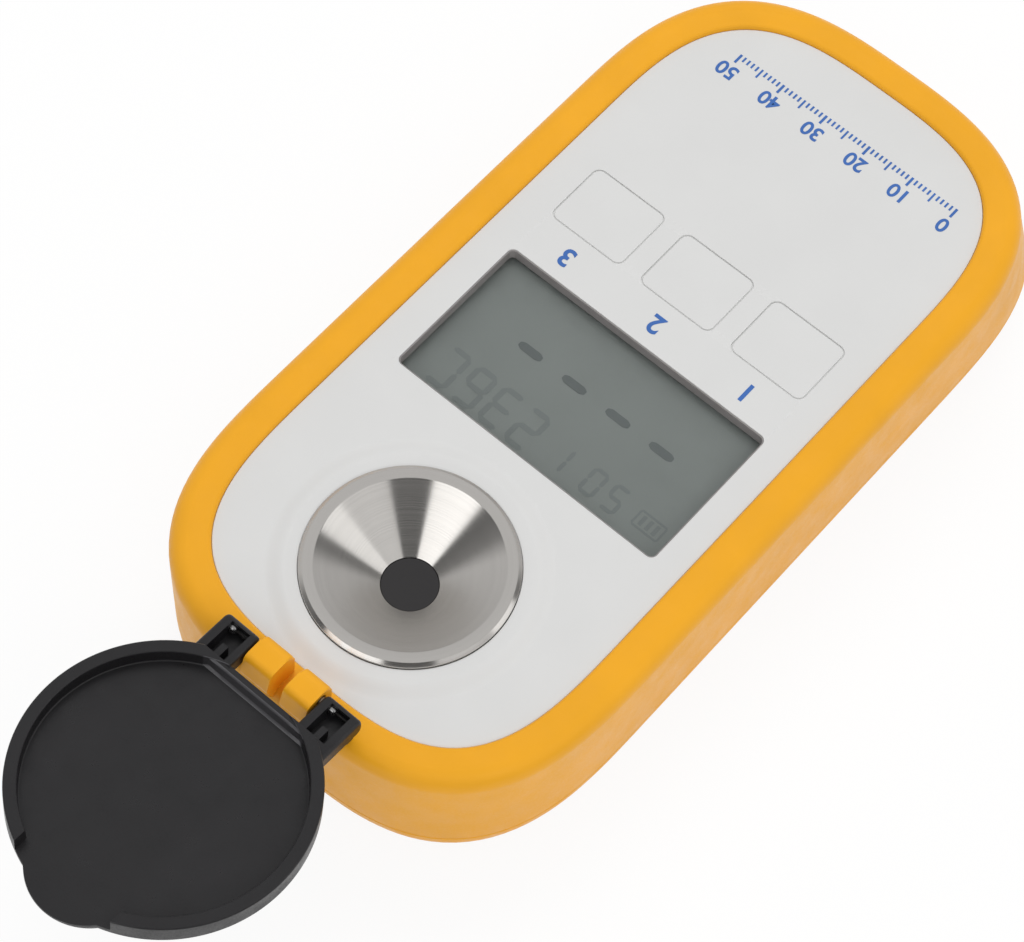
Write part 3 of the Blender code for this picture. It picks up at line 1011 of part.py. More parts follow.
def main():
    """Makes the materials and then every piece."""
    start_clean()
    yellow = material("casing_yellow", (0.89, 0.42, 0.03), 0.42)
    white = material("panel_white", (0.70, 0.69, 0.67), 0.45)
    black = material("lid_black", (0.032, 0.031, 0.032), 0.5)
    dark = material("inner_black", (0.05, 0.05, 0.05), 0.6)
    steel = material("stainless_steel", (0.56, 0.55, 0.53), 0.25, 1.0)
    plated = material("plated_steel", (0.6, 0.6, 0.6), 0.3, 1.0)
    rubber = material("black_rubber", (0.03, 0.03, 0.03), 0.8)
    clear = material("clear_plastic", (0.9, 0.92, 0.92), 0.08, transmission=0.9)
    display_grey = material("display_glass", (0.20, 0.22, 0.21), 0.15)
    lens_glass = material("optical_glass", (0.9, 0.95, 0.95), 0.03, transmission=1.0)
    prism_glass = material("prism_glass", (0.04, 0.035, 0.035), 0.1)
    board_green = material("board_green", (0.02, 0.13, 0.05), 0.5)
    ribbon_amber = material("ribbon_amber", (0.45, 0.2, 0.03), 0.4)
    cell_grey = material("cell_jacket", (0.25, 0.25, 0.27), 0.35, 0.6)
    red = material("lead_red", (0.4, 0.02, 0.02), 0.45)
    front_frame(yellow)
    rear_cover(yellow)
    battery_cover(yellow)
    front_panel(white)
    keys(white, dark, plated)
    display(rubber, clear, display_grey, dark, rubber)
    circuit_board(board_green, dark)
    sample_well(steel, rubber)
    prism(prism_glass, rubber)
    optics(dark, lens_glass, clear, dark, board_green, ribbon_amber, dark)
    battery(cell_grey, plated, red)
    case_gasket(rubber)
    screws(plated)
    hinge(black, dark)


main()
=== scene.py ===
"""Looks of the digital pocket refractometer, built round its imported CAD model.

Frame: the back face lies on Z = 0 with the origin at its centre, +Z comes out of the panel,
+Y points at the hinged end and +X is the reader's right. Lengths are in metres."""

import json
import math

import bmesh
import bpy
from mathutils import Matrix, Vector

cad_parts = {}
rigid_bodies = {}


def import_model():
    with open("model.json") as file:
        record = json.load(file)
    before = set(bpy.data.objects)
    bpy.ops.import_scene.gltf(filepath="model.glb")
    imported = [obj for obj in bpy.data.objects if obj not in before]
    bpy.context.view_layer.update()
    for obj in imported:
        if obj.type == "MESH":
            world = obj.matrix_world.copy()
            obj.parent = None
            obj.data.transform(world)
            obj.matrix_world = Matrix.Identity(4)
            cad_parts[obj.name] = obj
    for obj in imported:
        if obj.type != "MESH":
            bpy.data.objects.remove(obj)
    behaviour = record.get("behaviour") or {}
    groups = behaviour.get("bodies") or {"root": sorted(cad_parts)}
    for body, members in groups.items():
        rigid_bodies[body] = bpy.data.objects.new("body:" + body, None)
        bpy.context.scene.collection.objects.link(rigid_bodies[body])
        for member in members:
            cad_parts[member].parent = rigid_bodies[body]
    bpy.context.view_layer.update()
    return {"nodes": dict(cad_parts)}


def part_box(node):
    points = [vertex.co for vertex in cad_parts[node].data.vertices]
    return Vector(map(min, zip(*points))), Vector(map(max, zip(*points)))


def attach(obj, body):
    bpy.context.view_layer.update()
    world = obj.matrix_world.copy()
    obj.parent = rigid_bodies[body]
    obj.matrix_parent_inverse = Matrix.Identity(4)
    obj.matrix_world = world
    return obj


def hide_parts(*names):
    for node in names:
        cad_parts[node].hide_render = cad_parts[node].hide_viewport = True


for leftover in list(bpy.data.objects):
    bpy.data.objects.remove(leftover, do_unlink=True)
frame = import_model()
scene = bpy.context.scene

MM = 0.001

# Casing, as in the CAD
PANEL_LENGTH = 106.36 * MM
PANEL_WIDTH = 48.0 * MM
RIM_WIDTH = 5.0 * MM
BACK_OVERHANG = 3.0 * MM
PANEL_TOP = 20.3 * MM
PANEL_BOTTOM = 18.3 * MM
NEAR_ROUND = 27.1 * MM
FAR_ROUND = 24.96 * MM
NEAR_SQUARENESS_SHARE = 3.37
FAR_SQUARENESS_SHARE = 3.15
BACK_SQUARENESS_SHARE = 3.7
RIM_TOP = 21.0 * MM
RIM_EDGE_RADIUS = 2.2 * MM
SEAM_HEIGHT = 5.2 * MM
BACK_EDGE_RADIUS = 5.0 * MM
BACK_WALL = 2.6 * MM
CASE_WALL = 2.0 * MM
LIP_GAP = 0.1 * MM
LEDGE_TOP = 18.0 * MM
LEDGE_WIDTH = 1.2 * MM
CASE_LENGTH = PANEL_LENGTH + 2 * RIM_WIDTH + BACK_OVERHANG
PANEL_NEAR = CASE_LENGTH / 2 - RIM_WIDTH
PANEL_FAR = PANEL_NEAR - PANEL_LENGTH
CASE_FAR = -CASE_LENGTH / 2
NEAR_START = PANEL_NEAR - NEAR_ROUND
FAR_START = PANEL_FAR + FAR_ROUND
CASE_HALF_WIDTH = PANEL_WIDTH / 2 + RIM_WIDTH
FLARE_TOP = RIM_TOP - RIM_EDGE_RADIUS

# Fine finish of the casing's edges and gaps
SEAM_GAP = 0.05 * MM
SEAM_ROUND = 0.1 * MM
SEAM_CORNER_SHARE = 0.3
SIDE_STEPS = 6
PANEL_GAP = 0.03 * MM
RIM_CROWN_DROP = 0.18 * MM
RIM_INNER_ROUND = 0.55 * MM
PANEL_EDGE_ROUND = 0.1 * MM
OPENING_ROUND = 0.08 * MM

# Well and boss
WELL_Y = PANEL_NEAR - 17.44 * MM
WELL_RADIUS = 12.92 * MM
WELL_TOP = PANEL_TOP + 1.14 * MM
CONE_TOP_RADIUS = 11.16 * MM
CONE_FLOOR_RADIUS = 3.48 * MM
CONE_FLOOR = WELL_TOP - 5.47 * MM
WELL_BOTTOM = CONE_FLOOR - 1.2 * MM
WELL_GAP = 0.05 * MM
WELL_EDGE = 0.5 * MM
WELL_BREAK = (0.05 * MM, 0.33 * MM)
CONE_EDGE = 0.07 * MM
FLANGE_RADIUS = WELL_RADIUS + 2.2 * MM
FLANGE_TOP = 17.1 * MM
FLANGE_BOTTOM = 15.9 * MM
WELL_INNER_WALL = WELL_RADIUS - 1.45 * MM
CONE_WALL = 1.6 * MM
SEAT_RADIUS = CONE_FLOOR_RADIUS + 1.9 * MM
BOSS_RADIUS = 16.0 * MM
BOSS_HEIGHT = 0.5 * MM
BOSS_FLANK = 1.5 * MM
BOSS_FOOT_SHARE = 0.55
BOSS_STEPS = 12
PRISM_SINK = 0.06 * MM
PRISM_GAP = 0.05 * MM
PRISM_SHOULDER = WELL_BOTTOM - 1.2 * MM
PRISM_CORNER = 0.3 * MM

# Display
DISPLAY_X = -0.29 * MM
DISPLAY_Y = WELL_Y - 29.96 * MM
DISPLAY_WIDTH = 39.24 * MM
DISPLAY_DEPTH = 20.84 * MM
DISPLAY_CORNER = 0.7 * MM
BEZEL_WALL = 0.14 * MM
BEZEL_GAP = 0.04 * MM
BEZEL_DROP = 0.1 * MM
BEZEL_FLANGE = 1.2 * MM
BEZEL_FLANGE_DROP = 0.85 * MM
BEZEL_BOTTOM = 18.65 * MM
REBATE_GROWTH = 1.8 * MM
REBATE_DROP = 0.5 * MM
GLASS_TOP = 17.8 * MM

# Keys
KEYS_X = -0.35 * MM
KEYS_Y = WELL_Y - 51.74 * MM
KEY_PITCH = 14.0 * MM
KEY_WIDTH = 10.8 * MM
KEY_DEPTH = 9.05 * MM
KEY_CORNER = 1.0 * MM
KEY_GAP = 0.16 * MM
KEY_ROUND = 0.1 * MM
KEY_SINK = 0.03 * MM
KEY_GROOVE_DEPTH = 0.2 * MM
KEY_SHOULDER = 0.14 * MM
KEY_FLANGE = 0.9 * MM
KEY_FLANGE_TOP = 18.0 * MM
KEY_FLANGE_BOTTOM = 17.4 * MM

# Hinge
AXIS_Y = WELL_Y + 20.17 * MM
AXIS_Z = PANEL_TOP + 3.7 * MM
OPEN_ANGLE = math.radians(174.9)
PIN_RADIUS = 0.6 * MM
PIN_CLEARANCE = 0.2 * MM
PIN_ROUND = 0.15 * MM
PIN_ENDS = (1.25 * MM, 9.5 * MM)
PIN_NECK_RADIUS = 0.12 * MM
PIN_NECKS = ((-8.6 * MM, -7.05 * MM), (6.5 * MM, 8.0 * MM))
KNUCKLE_FAR_REACH = 1.8 * MM
KNUCKLE_RISE = 1.35 * MM
KNUCKLE_CORNER = 1.25 * MM
KNUCKLE_BROW = (1.35 * MM, 0.35 * MM)
KNUCKLE_BROW_ROUND = 1.0 * MM
KNUCKLE_CHIN = (1.89 * MM, -1.57 * MM)
KNUCKLE_CHIN_ROUND = 1.0 * MM
KNUCKLE_SLOPE_DEGREES = 15.8
KNUCKLE_CHIN_DEGREES = -60
KNUCKLE_FOOT = ((1.9 * MM, -4.6 * MM), (1.2 * MM, -6.6 * MM))
KNUCKLE_END_ROUND = 0.35 * MM
KNUCKLE_ENDS = ((-4.65 * MM, -0.95 * MM), (0.95 * MM, 4.97 * MM))
ARM_ENDS = ((-10.1 * MM, -4.95 * MM), (5.2 * MM, 10.1 * MM))
ARM_MIDDLE = 7.525 * MM

# Lid, in its closed place about the hinge axis
LID_Y = -20.17 * MM
LID_RADIUS = 17.29 * MM
LID_RIM = 1.55 * MM
LID_TOP = -0.3 * MM
LID_CEILING = -1.5 * MM
LID_SKIRT = -3.45 * MM
LID_EDGE_ROUND = 0.5 * MM
LID_RIM_ROUND = 0.22 * MM
LID_FILLET = 0.2 * MM
LID_CHORD = -4.2 * MM
STRIP_TOP = -1.22 * MM
CHORD_FOOT = (-6.32 * MM, -6.02 * MM)
CHORD_FOOT_RISE = 0.3 * MM
CHORD_BROW = (-5.97 * MM, -5.72 * MM)
CHORD_BACK = -5.07 * MM
CHORD_BEVEL = 0.25 * MM
CHORD_LEAN = 0.393
CHORD_TOPS = ((8.0 * MM, -3.445 * MM), (6.8 * MM, -3.445 * MM), (4.6 * MM, -3.05 * MM))
TAB_X = -0.3 * MM
TAB_Y = -31.65 * MM
TAB_RADIUS = 7.25 * MM
TAB_LOW = -1.4 * MM
TAB_HIGH = -0.45 * MM
TAB_EDGE = 0.35 * MM
TAB_NOTCH = (-7.2 * MM, 6.7 * MM)
TAB_SLOPE_START = -34.0 * MM
TAB_SLOPE_POWER = 2.2
ARM_HALF_THICKNESS = 1.26 * MM
ARM_START = -7.47 * MM
ARM_END = 0.9 * MM
ARM_CORNER = 1.0 * MM
ARM_SIDE_ROUND = 0.5 * MM
POCKET_HALF_WIDTH = 1.35 * MM
POCKET_START = -4.25 * MM
POCKET_END = 0.1 * MM
POCKET_RIB_HALF = 0.42 * MM
POCKET_RIB_END = -2.45 * MM
POCKET_RIB_TOP = -0.75 * MM
POCKET_RIB_BITE = 0.25 * MM
POCKET_FLOOR = 1.0 * MM
HEEL_START = 0.2 * MM
HEEL_END = 1.2 * MM
HEEL_LOW = -2.7 * MM
HEEL_HIGH = -0.63 * MM
HEEL_SIDE = 0.5 * MM

# Battery bay and its cover
BAY_HALF_WIDTH = 5.55 * MM
BAY_WALL = 0.8 * MM
BAY_FAR = -54.48 * MM
BAY_NEAR = -5.68 * MM
BAY_TOP = 12.7 * MM
BAY_MOUTH = 5.4 * MM
BAY_MOUTH_SHORTFALL = 0.5 * MM
BAY_MOUTH_TOP = 7.15 * MM
BAY_FOOT_SHARE = 0.8
BAY_SPACE_SHARE = 0.9
DOOR_NEAR = -4.08 * MM
DOOR_HALF_WIDTH = 12.0 * MM
DOOR_THICKNESS = 1.6 * MM
DOOR_TONGUE = 0.8 * MM
DOOR_TONGUE_THICKNESS = 0.7 * MM
DOOR_CORNER = 1.5 * MM
DOOR_GAP = 0.12 * MM
GRIP_COUNT = 5
GRIP_PITCH = 1.8 * MM
GRIP_WIDTH = 0.8 * MM
GRIP_DEPTH = 0.4 * MM
GRIP_LENGTH = 12.0 * MM
GRIP_FROM_EDGE = 4.0 * MM

# Screws of the casing
SCREW_BOXES = [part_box(f"case_screw_{index}") for index in range(1, 5)]
SCREW_PLACES = [((low.x + high.x) / 2, (low.y + high.y) / 2) for low, high in SCREW_BOXES]
SCREW_HEAD_RADIUS = 1.9 * MM
SCREW_HEAD_HEIGHT = 1.5 * MM
SCREW_SINK = 1.0 * MM
SCREW_SHANK_RADIUS = 1.0 * MM
SCREW_SHANK_LENGTH = 10.0 * MM
SCREW_DOME = 0.25 * MM
SCREW_DOME_SHARES = ((0.3, 0), (0.7, 0.35), (1, 1))
CROSS_REACH_SHARE = 0.62
CROSS_HALF = 0.25 * MM
CROSS_DEPTH = 0.7 * MM
SINK_GAP = 0.2 * MM

# Print and display segments
PRINT_THICKNESS = 0.02 * MM
PRINT_HEIGHT = 2.7 * MM
LABEL_Y = KEYS_Y + 8.05 * MM
SCALE_X = -0.5 * MM
SCALE_Y = -44.0 * MM
SCALE_LENGTH = 34.0 * MM
SCALE_TICKS = 50
SCALE_LONG_EVERY = 5
SCALE_NUMBER_EVERY = 10
SCALE_BOLD_SHARE = 1.3
SCALE_TICK_WIDTH = 0.26 * MM
SCALE_TICK_HEIGHTS = (1.5 * MM, 0.8 * MM)
SCALE_NUMBER_HEIGHT = 2.1 * MM
SCALE_NUMBER_GAP = 0.6 * MM
TEXT_CAP_SHARE = 0.73
TEXT_BOLD_SHARE = 0.03
SEGMENT_THICKNESS = 0.02 * MM
DASH_PLACES = [(x * MM, 5.2 * MM) for x in (9.15, 2.29, -4.51, -11.24)]
DASH_LENGTH = 3.5 * MM
DASH_WIDTH = 1.15 * MM
GHOST_FIGURES = [(("adef", "acdefg", "abcdg", "abdeg"), (15.0 * MM, 13.5 * MM), 4.15 * MM,
                  (2.6 * MM, 5.2 * MM, 0.75 * MM)),
                 (("bc", "abcdef", "acdfg"), (-4.6 * MM, 13.7 * MM), 3.3 * MM,
                  (1.8 * MM, 3.5 * MM, 0.55 * MM))]
CELL_MIDDLE = (-16.4 * MM, 13.7 * MM)
CELL_HALF = (1.9 * MM, 1.1 * MM)
CELL_LINE = 0.3 * MM
CELL_BAR_PITCH = 1.0 * MM
CELL_BAR_HALF = 0.75 * MM
CELL_BAR_WIDTH = 0.55 * MM
CELL_BAR_TIP = 0.1

# How finely round shapes are cut
OUTLINE_STEPS = 44
EDGE_STEPS = 8
ROUND_SIDES = 192
PIN_SIDES = 48
SMALL_STEPS = 5
SHARP_ANGLE = math.radians(35)
SOFTEN_ANGLE = math.radians(50)
SOFTEN_WIDTHS = {"casing_back": 0.12 * MM, "battery_door_cover": 0.15 * MM, "lid_shell": 0.14 * MM}
MERGE = 0.002 * MM
OVERRUN = 1.0 * MM
ADD, CUT = "UNION", "DIFFERENCE"


def srgb(*levels):
    """A colour of 0 to 255 levels as the linear values that shaders take."""
    shares = [level / 255 for level in levels]
    return tuple(s / 12.92 if s <= 0.04045 else ((s + 0.055) / 1.055) ** 2.4 for s in shares)


class Nodes:
    """A node tree, with short calls that add to it."""

    def __init__(self, owner):
        owner.use_nodes = True
        self.tree = owner.node_tree

    def add(self, kind, inputs=(), **settings):
        """A node with its settings, and values or links for its inputs."""
        node = self.tree.nodes.new(kind)
        for key, value in settings.items():
            setattr(node, key, value)
        for key, value in dict(inputs).items():
            if isinstance(value, bpy.types.NodeSocket):
                self.tree.links.new(value, node.inputs[key])
            else:
                node.inputs[key].default_value = value
        return node

    def remap(self, value, low, high, span=(0.3, 0.7), **settings):
        """The value's span spread from low to high."""
        return self.add("ShaderNodeMapRange", {"Value": value, "From Min": span[0], "From Max": span[1],
                                               "To Min": low, "To Max": high}, **settings).outputs["Result"]


class Finish(Nodes):
    """One procedural material: a Principled shader with its nodes, in the piece's own coordinates."""

    def __init__(self, name, **constants):
        self.material = bpy.data.materials.new(name)
        super().__init__(self.material)
        self.shader = self.tree.nodes["Principled BSDF"]
        for socket, value in constants.items():
            self.shader.inputs[socket.replace("_", " ")].default_value = value
        self.place = self.add("ShaderNodeTexCoord").outputs["Object"]

    def noise(self, size, detail=2.0, place=None):
        """Noise whose features are about this size, over the piece or over another place."""
        return self.add("ShaderNodeTexNoise", {"Vector": self.place if place is None else place,
                                               "Scale": 1 / size, "Detail": detail}).outputs["Fac"]

    def blend(self, share, first, second):
        """Two colours blended."""
        return self.add("ShaderNodeMix", {0: share, 6: first, 7: second}, data_type="RGBA").outputs[2]

    def colour(self, value):
        """Sets the base colour."""
        self.tree.links.new(value, self.shader.inputs["Base Color"])

    def rough(self, value):
        """Sets the roughness."""
        self.tree.links.new(value, self.shader.inputs["Roughness"])

    def bumps(self, *layers):
        """Layers of height, each with its depth, laid over each other."""
        normal = None
        for height, depth in layers:
            inputs = {"Height": height, "Distance": depth, "Strength": 1.0}
            if normal is not None:
                inputs["Normal"] = normal
            normal = self.add("ShaderNodeBump", inputs).outputs["Normal"]
        self.tree.links.new(normal, self.shader.inputs["Normal"])


def full(colour, share=1.0):
    """The colour with a full alpha, made lighter or darker by the share."""
    return (*(min(level * share, 1.0) for level in colour), 1.0)


def moulded(name, colour, roughness, grain=0.35 * MM, depth=0.004 * MM, mottle=0.03, spread=0.06,
            smudge=9 * MM, painted_highlight=None, **constants):
    """Moulded plastic: a faint cloudiness, a fine spark-eroded grain and handling smudges. Faces that a
    face attribute marks are blended towards the given light colour, as a painted highlight."""
    made = Finish(name, **constants)
    cloud = made.noise(smudge, 3)
    fine = made.noise(grain, 2)
    tone = made.blend(made.remap(cloud, 0.0, 1.0), full(colour, 1 - mottle), full(colour, 1 + mottle))
    # Painted highlight: faces marked by the face attribute take the lighter colour.
    if painted_highlight is not None:
        highlight_share = made.add("ShaderNodeAttribute", attribute_name="painted_highlight").outputs["Fac"]
        tone = made.blend(highlight_share, tone, full(painted_highlight))
    made.colour(tone)
    speck = made.remap(fine, roughness - spread, roughness + spread)
    drift = made.remap(made.noise(smudge / 3, 2), -spread, spread)
    made.rough(made.add("ShaderNodeMath", {0: speck, 1: drift}, operation="ADD").outputs[0])
    made.bumps((fine, depth), (made.noise(grain * 9, 2), depth))
    return made.material


def turned_steel(name, colour, roughness):
    """Lathe-turned steel: fine rings, a stretched highlight and faint marks along the rings."""
    made = Finish(name, Metallic=1.0, Anisotropic=0.85, Anisotropic_Rotation=0.25)
    tangent = made.add("ShaderNodeTangent", direction_type="RADIAL", axis="Z").outputs["Tangent"]
    made.tree.links.new(tangent, made.shader.inputs["Tangent"])
    parts = made.add("ShaderNodeSeparateXYZ", {"Vector": made.place}).outputs
    flat = made.add("ShaderNodeCombineXYZ", {"X": parts["X"], "Y": parts["Y"]}).outputs["Vector"]
    radius = made.add("ShaderNodeVectorMath", {0: flat}, operation="LENGTH").outputs["Value"]
    ring = made.add("ShaderNodeCombineXYZ", {"X": radius}).outputs["Vector"]
    fine = made.noise(0.12 * MM, 2, ring)
    broad = made.noise(0.9 * MM, 3, ring)
    tone = made.blend(made.remap(broad, 0.0, 1.0), full(colour, 0.975), full(colour, 1.02))
    made.colour(made.blend(made.remap(fine, 0.0, 0.12), tone, full(colour, 0.8)))
    made.rough(made.remap(fine, roughness - 0.05, roughness + 0.06))
    made.bumps((fine, 0.0006 * MM), (made.noise(2.5 * MM, 2), 0.0015 * MM))
    return made.material


def clear(name, tint, roughness, ior):
    """Clear plastic or glass with the faintest haze."""
    made = Finish(name, Transmission_Weight=1.0, IOR=ior)
    haze = made.noise(3 * MM, 3)
    made.colour(made.blend(made.remap(haze, 0.0, 1.0), full(tint, 0.985), full(tint, 1.0)))
    made.rough(made.remap(haze, roughness * 0.6, roughness * 1.4))
    made.bumps((made.noise(6 * MM, 1), 0.0006 * MM))
    return made.material


def liquid_crystal(name, colour):
    """The reflective back of a display: a fine paper-like grain under a polarised sheen."""
    made = Finish(name, Specular_IOR_Level=0.1)
    cloud = made.noise(16 * MM, 2)
    fine = made.noise(0.12 * MM, 2)
    tone = made.blend(made.remap(cloud, 0.0, 1.0), full(colour, 0.965), full(colour, 1.035))
    made.colour(made.blend(made.remap(fine, 0.0, 0.08), tone, full(colour, 0.8)))
    made.rough(made.remap(fine, 0.42, 0.52))
    made.bumps((fine, 0.0002 * MM))
    return made.material


def circuit(name, colour):
    """A circuit board: green mask over faint copper tracks."""
    made = Finish(name, Specular_IOR_Level=0.5)
    tracks = made.add("ShaderNodeTexVoronoi", {"Vector": made.place, "Scale": 1 / (1.4 * MM)},
                      feature="DISTANCE_TO_EDGE", distance="MANHATTAN").outputs["Distance"]
    line = made.remap(tracks, 1.0, 0.0, span=(0.04, 0.09))
    made.colour(made.blend(line, full(colour, 0.9), full(colour, 1.7)))
    made.rough(made.remap(made.noise(0.5 * MM, 2), 0.28, 0.42))
    made.bumps((line, 0.02 * MM), (made.noise(0.4 * MM, 2), 0.003 * MM))
    return made.material


def plated(name, colour, roughness):
    """Plated steel with a little pitting and drag marks."""
    made = Finish(name, Metallic=1.0)
    pits = made.noise(0.25 * MM, 3)
    drawn = made.add("ShaderNodeMapping", {"Vector": made.place, "Scale": (1.0, 0.12, 1.0)}).outputs["Vector"]
    drag = made.noise(0.5 * MM, 2, drawn)
    made.colour(made.blend(made.remap(drag, 0.0, 1.0), full(colour, 0.82), full(colour, 1.05)))
    made.rough(made.remap(pits, roughness - 0.08, roughness + 0.12))
    made.bumps((pits, 0.006 * MM), (drag, 0.003 * MM))
    return made.material


YELLOW = srgb(243, 172, 34)
WHITE = srgb(221, 221, 220)
LID_BLACK = srgb(28, 27, 29)
# Painted highlight: the lighter colour on the lid's chord wall where its edges catch the light, and the share
# of it on the wall's plain faces.
LID_HIGHLIGHT_PAINT = srgb(74, 73, 76)
WALL_HIGHLIGHT_SHARE = 0.35
FINISHES = {
    "casing_yellow": moulded("casing_yellow", YELLOW, 0.42, grain=0.3 * MM, depth=0.0035 * MM,
                             Specular_IOR_Level=0.3),
    "panel_white": moulded("panel_white", WHITE, 0.46, grain=0.25 * MM, depth=0.0025 * MM,
                           mottle=0.012),
    "lid_black": moulded("lid_black", LID_BLACK, 0.4, grain=0.22 * MM, depth=0.005 * MM,
                         mottle=0.1, spread=0.08, painted_highlight=LID_HIGHLIGHT_PAINT, Specular_IOR_Level=0.45),
    "inner_black": moulded("inner_black", srgb(34, 33, 34), 0.5, grain=0.3 * MM, depth=0.006 * MM,
                           mottle=0.08),
    "stainless_steel": turned_steel("stainless_steel", srgb(206, 203, 199), 0.2),
    "plated_steel": plated("plated_steel", srgb(196, 194, 190), 0.3),
    "black_rubber": moulded("black_rubber", srgb(40, 38, 38), 0.72, grain=0.5 * MM,
                            depth=0.01 * MM, mottle=0.12),
    "clear_plastic": clear("clear_plastic", srgb(250, 252, 251), 0.03, 1.3),
    "display_glass": liquid_crystal("display_glass", srgb(168, 173, 171)),
    "optical_glass": clear("optical_glass", srgb(246, 250, 250), 0.02, 1.52),
    "prism_glass": moulded("prism_glass", srgb(36, 34, 35), 0.16, grain=1.2 * MM, depth=0.0006 * MM,
                           mottle=0.06, spread=0.03),
    "board_green": circuit("board_green", srgb(26, 92, 52)),
    "ribbon_amber": moulded("ribbon_amber", srgb(196, 126, 40), 0.3, grain=0.6 * MM),
    "cell_jacket": moulded("cell_jacket", srgb(58, 62, 70), 0.28, grain=0.9 * MM, mottle=0.05),
    "lead_red": moulded("lead_red", srgb(180, 36, 30), 0.45, grain=0.4 * MM),
}
PRINT_BLUE = moulded("print_blue", srgb(62, 107, 180), 0.5, grain=0.12 * MM, depth=0.003 * MM,
                     mottle=0.08)
SEGMENT_DARK = moulded("segment_dark", srgb(131, 137, 137), 0.45, grain=0.15 * MM, mottle=0.03,
                       Specular_IOR_Level=0.1)
SEGMENT_GHOST = moulded("segment_ghost", srgb(153, 159, 158), 0.45, grain=0.15 * MM, mottle=0.02,
                        Specular_IOR_Level=0.1)
PIN_BLACK = moulded("pin_black", srgb(34, 33, 34), 0.2, grain=0.4 * MM, depth=0.0008 * MM,
                    mottle=0.06, spread=0.05, Specular_IOR_Level=1.0, IOR=2.4)
BEZEL_GREY = moulded("bezel_grey", srgb(148, 144, 143), 0.6, grain=0.25 * MM, depth=0.006 * MM,
                     mottle=0.06)

for node in frame["nodes"].values():
    for held in node.material_slots:
        held.material = FINISHES[held.material.name.split(".")[0]]


def smooth(obj):
    """Shades the object smooth up to its sharp edges."""
    obj.data.shade_smooth()
    obj.data.set_sharp_from_angle(angle=SHARP_ANGLE)


def build(name, bm, at=(0, 0, 0), flat=False):
    """An object from the bmesh, whose origin goes to the given point."""
    bmesh.ops.remove_doubles(bm, verts=bm.verts, dist=MERGE)
    bmesh.ops.recalc_face_normals(bm, faces=bm.faces)
    bmesh.ops.translate(bm, vec=-Vector(at), verts=bm.verts)
    mesh = bpy.data.meshes.new(name)
    bm.to_mesh(mesh)
    bm.free()
    obj = bpy.data.objects.new(name, mesh)
    obj.location = at
    scene.collection.objects.link(obj)
    if not flat:
        smooth(obj)
    return obj


def bake(obj):
    """Turns the object's modifiers into its mesh."""
    graph = bpy.context.evaluated_depsgraph_get()
    shape = bpy.data.meshes.new_from_object(obj.evaluated_get(graph))
    obj.modifiers.clear()
    obj.data = shape


def combine(target, *steps):
    """Applies each pair of operation and bmesh to the target in turn."""
    for operation, bm in steps:
        tool = build("tool", bm)
        step = target.modifiers.new("step", "BOOLEAN")
        step.operation = operation
        step.object = tool
        bake(target)
        bpy.data.objects.remove(tool, do_unlink=True)
    smooth(target)


def soften(obj):
    """Rounds the object's sharp edges a little."""
    step = obj.modifiers.new("soften", "BEVEL")
    step.width = SOFTEN_WIDTHS[obj.name]
    step.segments = 2
    step.limit_method = "ANGLE"
    step.angle_limit = SOFTEN_ANGLE
    step.use_clamp_overlap = True
    step.harden_normals = False
    bake(obj)
    smooth(obj)


def hold(obj, body, slot, replaces, finish=None):
    """Gives the piece its finish and the body that it rides on, and hides the node that it stands for."""
    obj.data.materials.clear()
    obj.data.materials.append(FINISHES[slot] if finish is None else finish)
    for face in obj.data.polygons:
        face.material_index = 0
    normals = obj.modifiers.new("normals", "WEIGHTED_NORMAL")
    normals.keep_sharp = True
    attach(obj, body)
    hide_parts(replaces)


def lofted(bm, rings, closed=False, caps=True):
    """Faces between rings of points that have equal counts."""
    rows = [[bm.verts.new(point) for point in ring] for ring in rings]
    pairs = list(zip(rows, rows[1:]))
    if closed:
        pairs.append((rows[-1], rows[0]))
    elif caps:
        bm.faces.new(rows[0])
        bm.faces.new(rows[-1])
    for row, following in pairs:
        for i in range(len(row)):
            j = (i + 1) % len(row)
            bm.faces.new((row[i], row[j], following[j], following[i]))
    return rows


def arc(centre, radius, start, end, steps):
    """Points of an arc between two angles in degrees, both ends included."""
    angles = [math.radians(start + (end - start) * step / steps) for step in range(steps + 1)]
    return [(centre[0] + radius * math.cos(a), centre[1] + radius * math.sin(a)) for a in angles]


def flare(z):
    """How far the casing has widened from its rim outline, 0, to its back outline, 1."""
    return min(max((FLARE_TOP - z) / (FLARE_TOP - SEAM_HEIGHT), 0), 1)


def round_end(angle, half_width, length, squareness, out):
    """A point of one rounded end, moved out along its normal. The angle is 0 at the +X side."""
    across, along = abs(math.cos(angle)), abs(math.sin(angle))
    reach = (across ** squareness + along ** squareness) ** (-1 / squareness)
    normal = Vector((across ** (squareness - 1) / half_width, along ** (squareness - 1) / length))
    normal.normalize()
    sign = math.copysign(1, math.cos(angle)) if across > MERGE else 0
    return (sign * (half_width * across * reach + out * normal.x), length * along * reach + out * normal.y)


def outline(inset, z):
    """The casing's outline at a height, moved inwards by the inset."""
    out = RIM_WIDTH - inset
    back = flare(z)
    points = []
    for step in range(2 * OUTLINE_STEPS + 1):
        angle = math.pi * step / (2 * OUTLINE_STEPS)
        x, y = round_end(angle, PANEL_WIDTH / 2, NEAR_ROUND, NEAR_SQUARENESS_SHARE, out)
        points.append((x, NEAR_START + y, z))
    for step in range(2 * OUTLINE_STEPS + 1):
        angle = math.pi - math.pi * step / (2 * OUTLINE_STEPS)
        x, y = round_end(angle, PANEL_WIDTH / 2, FAR_ROUND, FAR_SQUARENESS_SHARE, out)
        back_x, back_y = round_end(angle, CASE_HALF_WIDTH, FAR_START - CASE_FAR,
                                   BACK_SQUARENESS_SHARE, -inset)
        points.append((x + (back_x - x) * back, FAR_START - y + (y - back_y) * back, z))
    return points


